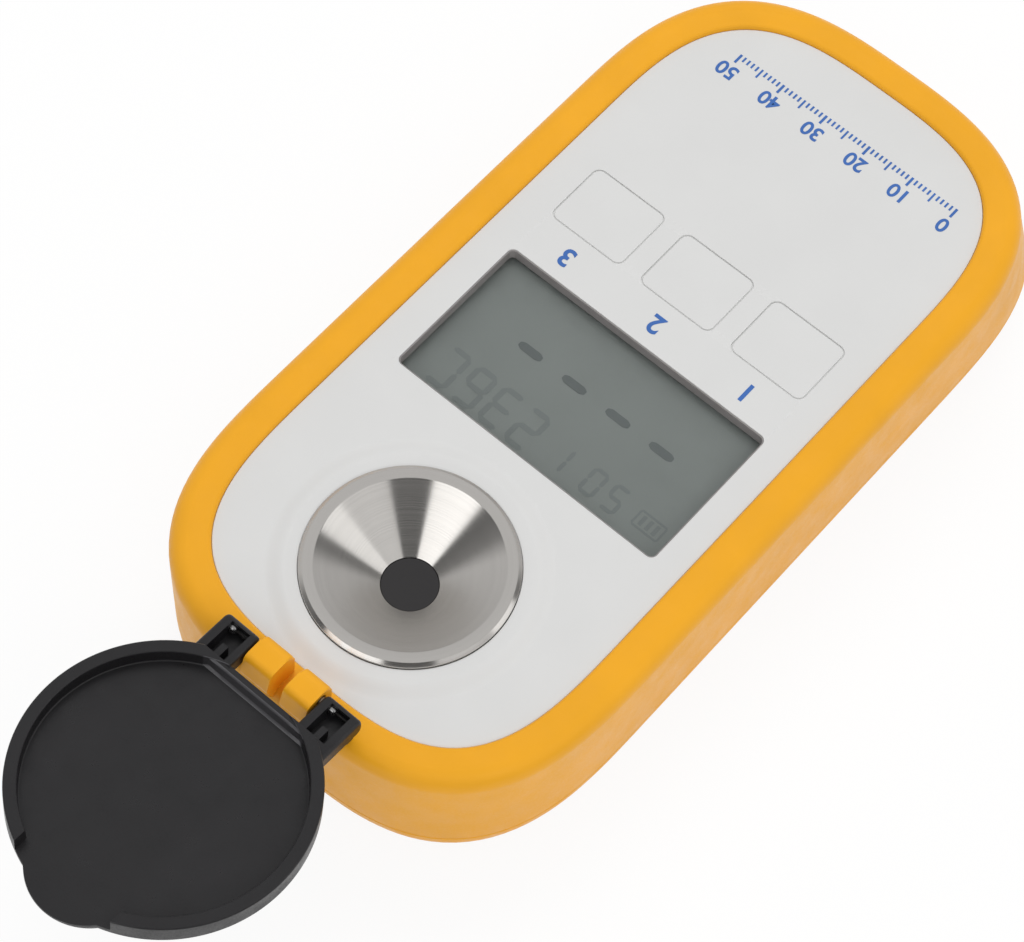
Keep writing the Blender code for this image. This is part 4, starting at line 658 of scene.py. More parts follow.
def circle(centre, radius, z, sides=ROUND_SIDES):
    """Points of a level circle."""
    angles = [2 * math.pi * step / sides for step in range(sides)]
    return [(centre[0] + radius * math.cos(a), centre[1] + radius * math.sin(a), z) for a in angles]


def rounded_rectangle(centre, width, depth, corner, z):
    """Points of a level rectangle with round corners."""
    points = []
    for index, (sx, sy) in enumerate(((1, 1), (-1, 1), (-1, -1), (1, -1))):
        middle = (centre[0] + sx * (width / 2 - corner), centre[1] + sy * (depth / 2 - corner))
        points += [(x, y, z) for x, y in arc(middle, corner, 90 * index, 90 * index + 90, 2 * SMALL_STEPS)]
    return points


def block(low, high, corner=0, axis="X", ends=0):
    """A bmesh box with the edges along one axis rounded, and its two ends softened."""
    low, high = Vector(low), Vector(high)
    bm = bmesh.new()
    bmesh.ops.create_cube(bm, size=1, matrix=Matrix.Translation((low + high) / 2)
                          @ Matrix.Diagonal((*(high - low), 1)))
    side = "XYZ".index(axis)
    if corner:
        along = [e for e in bm.edges if abs((e.verts[0].co - e.verts[1].co)[side]) > MERGE]
        bmesh.ops.bevel(bm, geom=along, offset=corner, segments=EDGE_STEPS, profile=0.5, affect="EDGES")
    if ends:
        border = [e for e in bm.edges if len({abs(f.normal[side]) > 0.5 for f in e.link_faces}) == 2]
        bmesh.ops.bevel(bm, geom=border, offset=ends, segments=SMALL_STEPS, profile=0.5, affect="EDGES")
    return bm


def slab(half_width, ys, zs, corner=0):
    """A bmesh box centred on X, from its half width and its spans in Y and Z."""
    return block((-half_width, ys[0], zs[0]), (half_width, ys[1], zs[1]), corner)


def revolved(profile, centre, sides=ROUND_SIDES, closed=True):
    """A bmesh of a profile of radii and heights turned round a vertical axis."""
    bm = bmesh.new()
    lofted(bm, [circle(centre, radius, z, sides) for radius, z in profile], closed=closed)
    return bm


def extruded(profile, start, end, soft=0):
    """A bmesh of a profile of y and z drawn out along X, with its end edges rounded."""
    bm = bmesh.new()
    lofted(bm, [[(x, y, z) for y, z in profile] for x in (start, end)])
    if soft:
        border = [e for e in bm.edges if abs(e.verts[0].co.x - e.verts[1].co.x) < MERGE]
        bmesh.ops.bevel(bm, geom=border, offset=soft, segments=SMALL_STEPS, profile=0.5, affect="EDGES")
    return bm


def rod(start, end, radius, round_edge=0, neck=None):
    """A bmesh of a straight pin with rounded end edges, which may have a thin neck. The neck is
    given by its two distances from the start, and the shoulder on its dome side comes first."""
    start, end = Vector(start), Vector(end)
    length = (end - start).length
    profile = [(radius, 0), (radius, length)]
    if round_edge:
        inner = radius - round_edge
        profile = arc((inner, round_edge), round_edge, -90, 0, SMALL_STEPS)
        if neck is not None:
            dome = radius - PIN_NECK_RADIUS
            shoulders = arc((PIN_NECK_RADIUS, 0), dome, 0, 90, SMALL_STEPS)
            profile += [(r, neck[0] - dome + along) for r, along in shoulders]
            profile += [(r, neck[1] + dome - along) for r, along in reversed(shoulders)]
        profile += arc((inner, length - round_edge), round_edge, 0, 90, SMALL_STEPS)
    bm = revolved(profile, (0, 0), PIN_SIDES, closed=False)
    turn = (end - start).to_track_quat("Z", "Y").to_matrix().to_4x4()
    bmesh.ops.transform(bm, matrix=Matrix.Translation(start) @ turn, verts=bm.verts)
    return bm


# Upper casing with its two knuckles
edge = arc((RIM_EDGE_RADIUS, FLARE_TOP), RIM_EDGE_RADIUS, 180, 90, EDGE_STEPS + 2)
inner = RIM_WIDTH - PANEL_GAP / 2
crown_end = (inner - RIM_INNER_ROUND, RIM_TOP - RIM_CROWN_DROP)
crown = [(RIM_EDGE_RADIUS + (crown_end[0] - RIM_EDGE_RADIUS) * share,
          RIM_TOP - RIM_CROWN_DROP * share ** 2) for share in (0.25, 0.5, 0.75)]
inner_edge = arc((crown_end[0], crown_end[1] - RIM_INNER_ROUND), RIM_INNER_ROUND, 90, 0, EDGE_STEPS)
seam = SEAM_HEIGHT + SEAM_GAP
side_levels = [seam + SEAM_ROUND + (FLARE_TOP - seam - SEAM_ROUND) * step / SIDE_STEPS
               for step in range(SIDE_STEPS)]
seam_corner = SEAM_ROUND * SEAM_CORNER_SHARE
frame_profile = [(SEAM_ROUND, seam), (seam_corner, seam + seam_corner),
                 *[(0, z) for z in side_levels], *edge, *crown, *inner_edge,
                 (inner, LEDGE_TOP), (inner + LEDGE_WIDTH, LEDGE_TOP),
                 (inner + LEDGE_WIDTH, LEDGE_TOP - LEDGE_WIDTH),
                 (CASE_WALL, LEDGE_TOP - LEDGE_WIDTH - CASE_WALL), (CASE_WALL, seam)]
bm = bmesh.new()
lofted(bm, [outline(inset, z) for inset, z in frame_profile], closed=True)
casing = build("casing_top", bm)
knuckle_back = (-KNUCKLE_FAR_REACH + KNUCKLE_CORNER, KNUCKLE_RISE - KNUCKLE_CORNER)
knuckle_profile = [(-KNUCKLE_FAR_REACH, KNUCKLE_FOOT[1][1]),
                   *arc(knuckle_back, KNUCKLE_CORNER, 180, 90, EDGE_STEPS),
                   *arc(KNUCKLE_BROW, KNUCKLE_BROW_ROUND, 90, KNUCKLE_SLOPE_DEGREES, EDGE_STEPS),
                   *arc(KNUCKLE_CHIN, KNUCKLE_CHIN_ROUND, KNUCKLE_SLOPE_DEGREES, KNUCKLE_CHIN_DEGREES,
                        EDGE_STEPS),
                   *KNUCKLE_FOOT]
knuckle_profile = [(AXIS_Y + y, AXIS_Z + z) for y, z in knuckle_profile]
for (left, right), side in zip(KNUCKLE_ENDS, (-1, 1)):
    bore = rod((side * PIN_ENDS[0], AXIS_Y, AXIS_Z), (side * ARM_MIDDLE, AXIS_Y, AXIS_Z),
               PIN_RADIUS + PIN_CLEARANCE)
    combine(casing, (ADD, extruded(knuckle_profile, left, right, KNUCKLE_END_ROUND)), (CUT, bore))
hold(casing, "casing", "casing_yellow", "front_frame")

# Back shell with the battery bay
back_edge = arc((BACK_EDGE_RADIUS, BACK_EDGE_RADIUS), BACK_EDGE_RADIUS, 270, 180, EDGE_STEPS + 4)
lip = CASE_WALL + LIP_GAP
cover_profile = [*back_edge, (0, SEAM_HEIGHT - SEAM_ROUND), (seam_corner, SEAM_HEIGHT - seam_corner),
                 (SEAM_ROUND, SEAM_HEIGHT), (lip, SEAM_HEIGHT), (lip, SEAM_HEIGHT + LEDGE_WIDTH),
                 (lip + LEDGE_WIDTH, SEAM_HEIGHT + LEDGE_WIDTH), (lip + LEDGE_WIDTH, SEAM_HEIGHT),
                 (BACK_EDGE_RADIUS, BACK_WALL)]
bm = bmesh.new()
lofted(bm, [outline(inset, z) for inset, z in cover_profile])
back = build("casing_back", bm)
slot_top = DOOR_THICKNESS + DOOR_GAP
door_room = DOOR_HALF_WIDTH + DOOR_GAP
tongue_low = DOOR_THICKNESS - DOOR_TONGUE_THICKNESS
past_far = CASE_FAR - OVERRUN
sink_top = SCREW_SINK + SCREW_HEAD_HEIGHT + SINK_GAP
combine(back,
        (ADD, slab(BAY_HALF_WIDTH + BAY_WALL, (BAY_FAR - BAY_WALL, BAY_NEAR + BAY_WALL),
                   (BACK_WALL * BAY_FOOT_SHARE, BAY_TOP + BAY_WALL))),
        (CUT, slab(BAY_HALF_WIDTH, (BAY_FAR, BAY_NEAR), (BACK_WALL * BAY_SPACE_SHARE, BAY_TOP))),
        (CUT, slab(BAY_MOUTH, (BAY_FAR + BAY_MOUTH_SHORTFALL, BAY_NEAR - BAY_MOUTH_SHORTFALL),
                   (-OVERRUN, BAY_MOUTH_TOP))),
        (CUT, slab(door_room, (past_far, DOOR_NEAR + DOOR_GAP), (-OVERRUN, slot_top))),
        (CUT, slab(door_room + DOOR_TONGUE, (past_far, DOOR_NEAR + 1.5 * DOOR_GAP),
                   (tongue_low - DOOR_GAP, slot_top + DOOR_GAP / 2))),
        (CUT, slab(door_room - DOOR_GAP / 4, (past_far, CASE_FAR + lip),
                   (-OVERRUN, SEAM_HEIGHT + LEDGE_WIDTH * 2))),
        *[(CUT, rod((x, y, -OVERRUN), (x, y, sink_top), SCREW_HEAD_RADIUS + SINK_GAP))
          for x, y in SCREW_PLACES])
soften(back)
hold(back, "casing", "casing_yellow", "rear_cover")

# Battery cover with its grips
bm = bmesh.new()
lofted(bm, [outline(inset, z) for inset, z in [*back_edge, (0, SEAM_HEIGHT)]])
door = build("battery_door_cover", bm)
combine(door,
        ("INTERSECT", slab(DOOR_HALF_WIDTH, (past_far, DOOR_NEAR), (-OVERRUN, SEAM_HEIGHT + OVERRUN))),
        (CUT, slab(DOOR_HALF_WIDTH + OVERRUN, (CASE_FAR + CASE_WALL, DOOR_NEAR + OVERRUN),
                   (DOOR_THICKNESS, SEAM_HEIGHT + 2 * OVERRUN))),
        (ADD, slab(DOOR_HALF_WIDTH + DOOR_TONGUE, (CASE_FAR + 2 * BACK_EDGE_RADIUS, DOOR_NEAR - DOOR_CORNER),
                   (tongue_low, DOOR_THICKNESS - GRIP_DEPTH / 4))))
for index in range(GRIP_COUNT):
    y = DOOR_NEAR - GRIP_FROM_EDGE - index * GRIP_PITCH
    combine(door, (CUT, slab(GRIP_LENGTH / 2, (y - GRIP_WIDTH, y), (-GRIP_DEPTH, GRIP_DEPTH),
                             GRIP_WIDTH / 2 - 2 * MERGE)))
soften(door)
hold(door, "battery_door", "casing_yellow", "battery_cover")


def edge_rings(loop, radius, z, out=1):
    """Rings that round the top edge of a plate, from its top face down its side. The loop gives
    the ring at a distance out from the side, and out is -1 for a plate and 1 for an opening."""
    return [loop(out * (radius - across), z - radius + up)
            for across, up in arc((0, 0), radius, 90, 0, SMALL_STEPS)]


# White panel, with its boss and openings
def panel_loop(out, z):
    """The panel's outline, moved out."""
    return outline(RIM_WIDTH + PANEL_GAP / 2 - out, z)


def display_loop(out, z):
    """The display's outline, moved out."""
    return rounded_rectangle((DISPLAY_X, DISPLAY_Y), DISPLAY_WIDTH + 2 * out, DISPLAY_DEPTH + 2 * out,
                             DISPLAY_CORNER + out, z)


def opening_loop(out, z):
    """The outline of the panel's opening round the bezel, moved out."""
    return display_loop(BEZEL_WALL + BEZEL_GAP + out, z)


def key_loop(x, out, z):
    """The outline of the key at x, moved out."""
    return rounded_rectangle((x, KEYS_Y), KEY_WIDTH + 2 * out, KEY_DEPTH + 2 * out, KEY_CORNER + out, z)


def smooth_step(share):
    """The share eased in and out."""
    return share * share * (3 - 2 * share)


loops = [[*edge_rings(panel_loop, PANEL_EDGE_ROUND, PANEL_TOP, -1), panel_loop(0, PANEL_BOTTOM)]]
foot = BOSS_RADIUS + BOSS_FLANK * BOSS_FOOT_SHARE
brow = BOSS_RADIUS - BOSS_FLANK
shares = [step / BOSS_STEPS for step in range(BOSS_STEPS + 1)]
well_rings = [circle((0, WELL_Y), foot + (brow - foot) * share, PANEL_TOP + BOSS_HEIGHT * smooth_step(share))
              for share in shares]
well_rings += edge_rings(lambda out, z: circle((0, WELL_Y), WELL_RADIUS + WELL_GAP + out, z),
                         OPENING_ROUND, PANEL_TOP + BOSS_HEIGHT)
loops.append([*well_rings, circle((0, WELL_Y), WELL_RADIUS + WELL_GAP, PANEL_BOTTOM)])
rebate_z = PANEL_TOP - REBATE_DROP
loops.append([*edge_rings(opening_loop, OPENING_ROUND, PANEL_TOP), opening_loop(0, rebate_z),
              opening_loop(REBATE_GROWTH, rebate_z), opening_loop(REBATE_GROWTH, PANEL_BOTTOM)])
for index in (-1, 0, 1):
    x = KEYS_X + index * KEY_PITCH
    rings = edge_rings(lambda out, z: key_loop(x, KEY_GAP + out, z), OPENING_ROUND, PANEL_TOP)
    loops.append([*rings, key_loop(x, KEY_GAP, PANEL_BOTTOM)])
bm = bmesh.new()
for place in (0, -1):
    edges = []
    for loop in loops:
        corners = [bm.verts.new(point) for point in loop[place]]
        edges += [bm.edges.new((corners[i - 1], corners[i])) for i in range(len(corners))]
    bmesh.ops.triangle_fill(bm, edges=edges, use_beauty=True, normal=(0, 0, 1))
for loop in loops:
    lofted(bm, loop, caps=False)
panel = build("panel_plate", bm)
hold(panel, "casing", "panel_white", "front_panel")

# Key caps
for index, name in ((-1, "left"), (0, "middle"), (1, "right")):
    x = KEYS_X + index * KEY_PITCH
    rings = edge_rings(lambda out, z: key_loop(x, out, z), KEY_ROUND, PANEL_TOP - KEY_SINK, -1)
    groove = PANEL_TOP - KEY_GROOVE_DEPTH
    rings += [key_loop(x, out, z) for out, z in (
        (0, groove), (KEY_SHOULDER, groove), (KEY_SHOULDER, KEY_FLANGE_TOP), (KEY_FLANGE, KEY_FLANGE_TOP),
        (KEY_FLANGE, KEY_FLANGE_BOTTOM))]
    bm = bmesh.new()
    lofted(bm, rings)
    cap = build(f"key_cap_{name}", bm, at=(x, KEYS_Y, PANEL_TOP))
    hold(cap, f"key_{name}_body", "panel_white", f"key_{name}")

# Steel well and prism
drop = (WELL_TOP - CONE_FLOOR) / (CONE_TOP_RADIUS - CONE_FLOOR_RADIUS)
lip_rings = [(CONE_TOP_RADIUS - CONE_EDGE, WELL_TOP - drop * CONE_EDGE),
             (CONE_TOP_RADIUS - CONE_EDGE / 4, WELL_TOP - CONE_EDGE / 4),
             (CONE_TOP_RADIUS + CONE_EDGE, WELL_TOP)]
cone = [(CONE_FLOOR_RADIUS + (CONE_TOP_RADIUS - CONE_EDGE - CONE_FLOOR_RADIUS) * share,
         CONE_FLOOR + (WELL_TOP - drop * CONE_EDGE - CONE_FLOOR) * share) for share in (0, 0.25, 0.5, 0.75)]
outer_edge = [(WELL_RADIUS - WELL_EDGE, WELL_TOP), (WELL_RADIUS - WELL_BREAK[0], WELL_TOP - WELL_BREAK[1]),
              (WELL_RADIUS, WELL_TOP - WELL_EDGE)]
well_profile = [*cone, *lip_rings, *outer_edge, (WELL_RADIUS, FLANGE_TOP), (FLANGE_RADIUS, FLANGE_TOP),
                (FLANGE_RADIUS, FLANGE_BOTTOM), (WELL_INNER_WALL, FLANGE_BOTTOM),
                (WELL_INNER_WALL, CONE_FLOOR + drop * (WELL_INNER_WALL - CONE_FLOOR_RADIUS) - CONE_WALL),
                (SEAT_RADIUS, CONE_FLOOR + drop * (SEAT_RADIUS - CONE_FLOOR_RADIUS) - CONE_WALL),
                (SEAT_RADIUS, WELL_BOTTOM), (CONE_FLOOR_RADIUS, WELL_BOTTOM)]
well = build("well_dish", revolved(well_profile, (0, WELL_Y)), at=(0, WELL_Y, WELL_TOP))
hold(well, "casing", "stainless_steel", "sample_well")

prism_low, prism_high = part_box("prism")
half_width = (prism_high.x - prism_low.x) / 2
half_length = (prism_high.y - prism_low.y) / 2
prism = build("prism_block", block((-half_width, WELL_Y - half_length, prism_low.z),
                                   (half_width, WELL_Y + half_length, PRISM_SHOULDER), PRISM_CORNER, "Z"))
for vertex in prism.data.vertices:
    if vertex.co.z < PRISM_SHOULDER - MERGE:
        vertex.co.y = WELL_Y + (vertex.co.y - WELL_Y) / 2
face_radius = CONE_FLOOR_RADIUS - PRISM_GAP
face_top = CONE_FLOOR - PRISM_SINK
face_profile = [(face_radius, PRISM_SHOULDER - OVERRUN), (face_radius, face_top - PRISM_GAP),
                (face_radius - PRISM_GAP, face_top)]
combine(prism, (ADD, revolved(face_profile, (0, WELL_Y), closed=False)))
hold(prism, "casing", "prism_glass", "prism")


# Display: dark bezel and the segments on the glass
bezel_top = PANEL_TOP - BEZEL_DROP
flange_z = PANEL_TOP - BEZEL_FLANGE_DROP
bm = bmesh.new()
lofted(bm, [display_loop(out, z) for out, z in (
    (0, BEZEL_BOTTOM), (0, bezel_top - BEZEL_WALL / 2), (BEZEL_WALL / 6, bezel_top - BEZEL_WALL / 6),
    (BEZEL_WALL / 2, bezel_top), (BEZEL_WALL, bezel_top), (BEZEL_WALL, flange_z), (BEZEL_FLANGE, flange_z),
    (BEZEL_FLANGE, BEZEL_BOTTOM))], closed=True)
bezel = build("display_bezel", bm)
hold(bezel, "casing", "black_rubber", "display_gasket", BEZEL_GREY)


def flat_shapes(name, shapes, z, thickness, finish):
    """A piece of flat closed shapes, each a list of points, that stand a little above a height."""
    bm = bmesh.new()
    for shape in shapes:
        lofted(bm, [[(x, y, z) for x, y in shape], [(x, y, z + thickness) for x, y in shape]])
    obj = build(name, bm, flat=True)
    obj.data.materials.append(finish)
    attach(obj, "casing")


def bar(start, end, width, tip=0.5):
    """A bar from one point to another with pointed ends, as a display segment has."""
    start, end = Vector(start), Vector(end)
    along = (end - start).normalized()
    across = Vector((-along.y, along.x)) * width / 2
    inset = along * width * tip
    return [tuple(start), tuple(start + inset - across), tuple(end - inset - across), tuple(end),
            tuple(end - inset + across), tuple(start + inset + across)]


SEGMENTS = {"a": ((0, 2), (1, 2)), "b": ((1, 1), (1, 2)), "c": ((1, 0), (1, 1)), "d": ((0, 0), (1, 0)),
            "e": ((0, 0), (0, 1)), "f": ((0, 1), (0, 2)), "g": ((0, 1), (1, 1))}


def figure(centre, width, height, thickness, lit):
    """The lit segments of one seven-segment figure."""
    shapes = []
    for key in lit:
        points = []
        for across, up in SEGMENTS[key]:
            points.append((centre[0] + (across - 0.5) * width, centre[1] + (up - 1) * height / 2))
        shapes.append(bar(*points, thickness))
    return shapes


reach, rise = DASH_LENGTH / 2, DASH_WIDTH / 2
half_dash = [(reach, rise / 2), (reach - rise, rise), (rise - reach, rise), (-reach, rise / 2)]
dash = half_dash + [(-x, -y) for x, y in half_dash]
dashes = [[(x + across, y + up) for across, up in dash] for x, y in DASH_PLACES]
segment_z = GLASS_TOP + SEGMENT_THICKNESS
flat_shapes("display_dashes", dashes, segment_z, SEGMENT_THICKNESS, SEGMENT_DARK)
ghosts = []
for figures, (x, y), pitch, sizes in GHOST_FIGURES:
    for index, lit in enumerate(figures):
        ghosts += figure((x - index * pitch, y), *sizes, lit)
x, y = CELL_MIDDLE
across, up = CELL_HALF
for side in (-1, 1):
    ghosts.append(bar((x + side * across, y - up), (x + side * across, y + up), CELL_LINE))
    ghosts.append(bar((x - across, y + side * up), (x + across, y + side * up), CELL_LINE))
for index in (-1, 0, 1):
    middle = x + index * CELL_BAR_PITCH
    ghosts.append(bar((middle, y - CELL_BAR_HALF), (middle, y + CELL_BAR_HALF), CELL_BAR_WIDTH, CELL_BAR_TIP))
flat_shapes("display_ghost_segments", ghosts, segment_z, SEGMENT_THICKNESS / 2, SEGMENT_GHOST)


# Blue print: a number for each key, and a plain scale
def number(name, text, x, y, height):
    """A printed number, standing on y and centred on x."""
    curve = bpy.data.curves.new(name, "FONT")
    curve.body = text
    curve.size = height / TEXT_CAP_SHARE
    curve.align_x = "CENTER"
    curve.offset = height * TEXT_BOLD_SHARE
    curve.extrude = PRINT_THICKNESS / 2
    curve.resolution_u = SMALL_STEPS
    obj = bpy.data.objects.new(name, curve)
    scene.collection.objects.link(obj)
    graph = bpy.context.evaluated_depsgraph_get()
    mesh = bpy.data.meshes.new_from_object(obj.evaluated_get(graph))
    bpy.data.objects.remove(obj, do_unlink=True)
    mesh.transform(Matrix.Translation((x, y, PANEL_TOP + PRINT_THICKNESS)))
    mesh.materials.clear()
    mesh.materials.append(PRINT_BLUE)
    made = bpy.data.objects.new(name, mesh)
    scene.collection.objects.link(made)
    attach(made, "casing")


for index, text in ((-1, "1"), (0, "2"), (1, "3")):
    number(f"key_number_{text}", text, KEYS_X + index * KEY_PITCH, LABEL_Y - PRINT_HEIGHT / 2, PRINT_HEIGHT)
ticks = []
for index in range(SCALE_TICKS + 1):
    x = SCALE_X - SCALE_LENGTH / 2 + SCALE_LENGTH * index / SCALE_TICKS
    height = SCALE_TICK_HEIGHTS[0 if index % SCALE_LONG_EVERY == 0 else 1]
    numbered = index % SCALE_NUMBER_EVERY == 0
    half = SCALE_TICK_WIDTH / 2 * (SCALE_BOLD_SHARE if numbered else 1)
    ticks.append([(x - half, SCALE_Y), (x + half, SCALE_Y), (x + half, SCALE_Y + height),
                  (x - half, SCALE_Y + height)])
    if numbered:
        number(f"scale_number_{index}", str(index), x, SCALE_Y + SCALE_TICK_HEIGHTS[0] + SCALE_NUMBER_GAP,
               SCALE_NUMBER_HEIGHT)
flat_shapes("scale_ticks", ticks, PANEL_TOP + PRINT_THICKNESS / 2, PRINT_THICKNESS, PRINT_BLUE)

# Lid, built closed about the hinge axis and turned open
OPEN = Matrix.Translation((0, AXIS_Y, AXIS_Z)) @ Matrix.Rotation(-OPEN_ANGLE, 4, "X")
CLOSE = OPEN.inverted()
lid_inner = LID_RADIUS - LID_RIM
rim_z = LID_SKIRT + LID_RIM_ROUND
lid_profile = []
for radius, z, bend, start, end in (
        (LID_RADIUS - LID_EDGE_ROUND, LID_TOP - LID_EDGE_ROUND, LID_EDGE_ROUND, 90, 0),
        (LID_RADIUS - LID_RIM_ROUND, rim_z, LID_RIM_ROUND, 0, -90),
        (lid_inner + LID_RIM_ROUND, rim_z, LID_RIM_ROUND, -90, -180),
        (lid_inner - LID_FILLET, LID_CEILING - LID_FILLET, LID_FILLET, 0, 90)):
    lid_profile += arc((radius, z), bend, start, end, SMALL_STEPS)
lid = build("lid_shell", revolved(lid_profile, (0, LID_Y), closed=False))
tab_tip = TAB_Y - TAB_RADIUS
slope = []
for step in range(EDGE_STEPS + 1):
    share = step / EDGE_STEPS
    slope.append((TAB_SLOPE_START + (tab_tip - TAB_SLOPE_START) * share,
                  LID_CEILING - 2 * MERGE + (TAB_HIGH - TAB_EDGE - LID_CEILING) * share ** TAB_SLOPE_POWER))
below_lid = LID_SKIRT - OVERRUN
slope += [(tab_tip - OVERRUN, TAB_HIGH - TAB_EDGE), (tab_tip - OVERRUN, below_lid),
          (TAB_SLOPE_START, below_lid)]
chord_rings = []
for x, top in [(-x, top) for x, top in CHORD_TOPS] + [(x, top) for x, top in reversed(CHORD_TOPS)]:
    lean = CHORD_LEAN * (top - CHORD_TOPS[0][1])
    chord_rings.append([(x, y, z) for y, z in (
        (CHORD_FOOT[0], LID_TOP - LID_FILLET), (CHORD_FOOT[0], LID_CEILING),
        (CHORD_FOOT[1], LID_CEILING - CHORD_FOOT_RISE), (CHORD_BROW[0] + lean, top + CHORD_BEVEL),
        (CHORD_BROW[1] + lean, top), (CHORD_BACK + lean, top), (CHORD_BACK + lean, LID_TOP - LID_FILLET))])
chord_wall = bmesh.new()
lofted(chord_wall, chord_rings)
steps = [(ADD, chord_wall),
         (ADD, revolved([(TAB_RADIUS, TAB_LOW), (TAB_RADIUS, TAB_HIGH)], (TAB_X, TAB_Y), closed=False)),
         (CUT, extruded(slope, *TAB_NOTCH)),
         (CUT, slab(LID_RADIUS, (CHORD_BACK, LID_CHORD + OVERRUN), (below_lid, STRIP_TOP))),
         (CUT, slab(LID_RADIUS, (LID_CHORD, LID_CHORD + LID_RADIUS), (below_lid, LID_TOP + OVERRUN)))]
for (left, right), side in zip(ARM_ENDS, (-1, 1)):
    middle = side * ARM_MIDDLE
    heel = block((left + HEEL_SIDE, AXIS_Y + HEEL_START, AXIS_Z + HEEL_LOW),
                 (right - HEEL_SIDE, AXIS_Y + HEEL_END, AXIS_Z + HEEL_HIGH))
    bmesh.ops.transform(heel, matrix=CLOSE, verts=heel.verts)
    steps += [(ADD, block((left, ARM_START, -ARM_HALF_THICKNESS), (right, ARM_END, ARM_HALF_THICKNESS),
                          ARM_CORNER, "X", ARM_SIDE_ROUND)),
              (ADD, heel),
              (CUT, block((middle - POCKET_HALF_WIDTH, POCKET_START, -ARM_HALF_THICKNESS - OVERRUN),
                          (middle + POCKET_HALF_WIDTH, POCKET_END, POCKET_FLOOR))),
              (ADD, block((middle - POCKET_RIB_HALF, POCKET_START - POCKET_RIB_BITE, POCKET_RIB_TOP),
                          (middle + POCKET_RIB_HALF, POCKET_RIB_END, POCKET_FLOOR + POCKET_RIB_BITE))),
              (CUT, rod((side * PIN_ENDS[0], 0, 0), (side * (PIN_ENDS[1] + PIN_ROUND), 0, 0),
                        PIN_RADIUS + PIN_CLEARANCE / 2))]
combine(lid, *steps)
soften(lid)
# Painted highlight: the chord wall's bevels that face into the lid take the full light colour and its wall
# faces a lesser share, standing for the light lines that those edges catch.
highlight_layer = lid.data.attributes.new("painted_highlight", "FLOAT", "FACE")
for face in lid.data.polygons:
    if CHORD_FOOT[0] < face.center.y < CHORD_BACK and face.center.z > LID_SKIRT and face.normal.y < -0.5:
        highlight_layer.data[face.index].value = 1.0 if face.normal.z < -0.5 else WALL_HIGHLIGHT_SHARE
lid.data.transform(OPEN)
lid.data.transform(Matrix.Translation((0, -AXIS_Y, -AXIS_Z)))
lid.location = (0, AXIS_Y, AXIS_Z)
hold(lid, "lid_body", "lid_black", "lid")

# Hinge pins and case screws
for name, side, neck in (("left", -1, PIN_NECKS[0]), ("right", 1, PIN_NECKS[1])):
    neck = sorted(abs(x) - PIN_ENDS[0] for x in neck)
    pin = build(f"pin_{name}", rod((side * PIN_ENDS[0], AXIS_Y, AXIS_Z), (side * PIN_ENDS[1], AXIS_Y, AXIS_Z),
                                   PIN_RADIUS, round_edge=PIN_ROUND, neck=neck))
    hold(pin, "casing", "inner_black", f"hinge_pin_{name}", PIN_BLACK)
    pin.data.materials.append(FINISHES["black_rubber"])
    for face in pin.data.polygons:
        if Vector((AXIS_Y - face.center.y, AXIS_Z - face.center.z)).length < 2 * PIN_NECK_RADIUS:
            face.material_index = int(abs(face.normal.x) < 0.5)
for index, (x, y) in enumerate(SCREW_PLACES, 1):
    head = SCREW_SINK + SCREW_HEAD_HEIGHT
    profile = [(SCREW_HEAD_RADIUS * across, SCREW_SINK + SCREW_DOME * up) for across, up in SCREW_DOME_SHARES]
    profile += [(SCREW_HEAD_RADIUS, head), (SCREW_SHANK_RADIUS, head),
                (SCREW_SHANK_RADIUS, head + SCREW_SHANK_LENGTH)]
    screw = build(f"casing_screw_{index}", revolved(profile, (x, y), PIN_SIDES, closed=False))
    reach = SCREW_HEAD_RADIUS * CROSS_REACH_SHARE
    cross_top = SCREW_SINK + CROSS_DEPTH
    combine(screw, *[(CUT, block((x - across, y - along, 0), (x + across, y + along, cross_top)))
                     for across, along in ((reach, CROSS_HALF), (CROSS_HALF, reach))])
    hold(screw, "casing", "plated_steel", f"case_screw_{index}")

# Camera at the photograph's viewing angle
CAMERA_AT = (-104.75 * MM, 159.62 * MM, 353.31 * MM)
CAMERA_RIGHT = (-0.75629, -0.65318, 0.03723)
CAMERA_UP = (0.59252, -0.65971, 0.46227)
CAMERA_BACK = (-0.27738, 0.37167, 0.88596)
CAMERA_LENS = 113.19
CAMERA_SENSOR = 36.0
CAMERA_CLIP = (10 * MM, 20.0)
camera_data = bpy.data.cameras.new("camera")
camera_data.lens = CAMERA_LENS
camera_data.sensor_width = CAMERA_SENSOR
camera_data.clip_start, camera_data.clip_end = CAMERA_CLIP
camera = bpy.data.objects.new("camera", camera_data)
scene.collection.objects.link(camera)
turn = Matrix((CAMERA_RIGHT, CAMERA_UP, CAMERA_BACK)).transposed()
camera.matrix_world = Matrix.Translation(CAMERA_AT) @ turn.to_4x4()
bpy.context.scene.camera = camera

# Floor, sky and lamps
FLOOR_SIZE = 6.0
FLOOR_DROP = 0.02 * MM
FLOOR_GLOW_SHARE = 0.9
FLOOR_ALBEDO = 0.92
AMBIENT = 0.72
LAMPS = [((0.35, -0.55, 0.95), 0.7, 4.2), ((-0.6, 0.35, 0.8), 0.8, 2.7)]
TENT_RADIUS = 1.6
TENT_SECTORS = [(-180, 0.95), (-160, 0.95), (-157, 1.45), (-154, 1.25), (-134, 1.25), (-132, 0.2),
                (-123, 0.22), (-112, 0.6), (-20, 0.62), (20, 0.66), (33, 0.24), (59, 0.12), (62, 1.8),
                (108, 1.65), (111, 0.08), (151, 0.1), (155, 0.9), (180, 0.95)]
TENT_LOW_SECTORS = [(-180, 0.1), (-160, 0.1), *TENT_SECTORS[2:15], (180, 0.1)]
TENT_LOW_SHARES = (0.46, 0.54)
TENT_TOP = 0.7
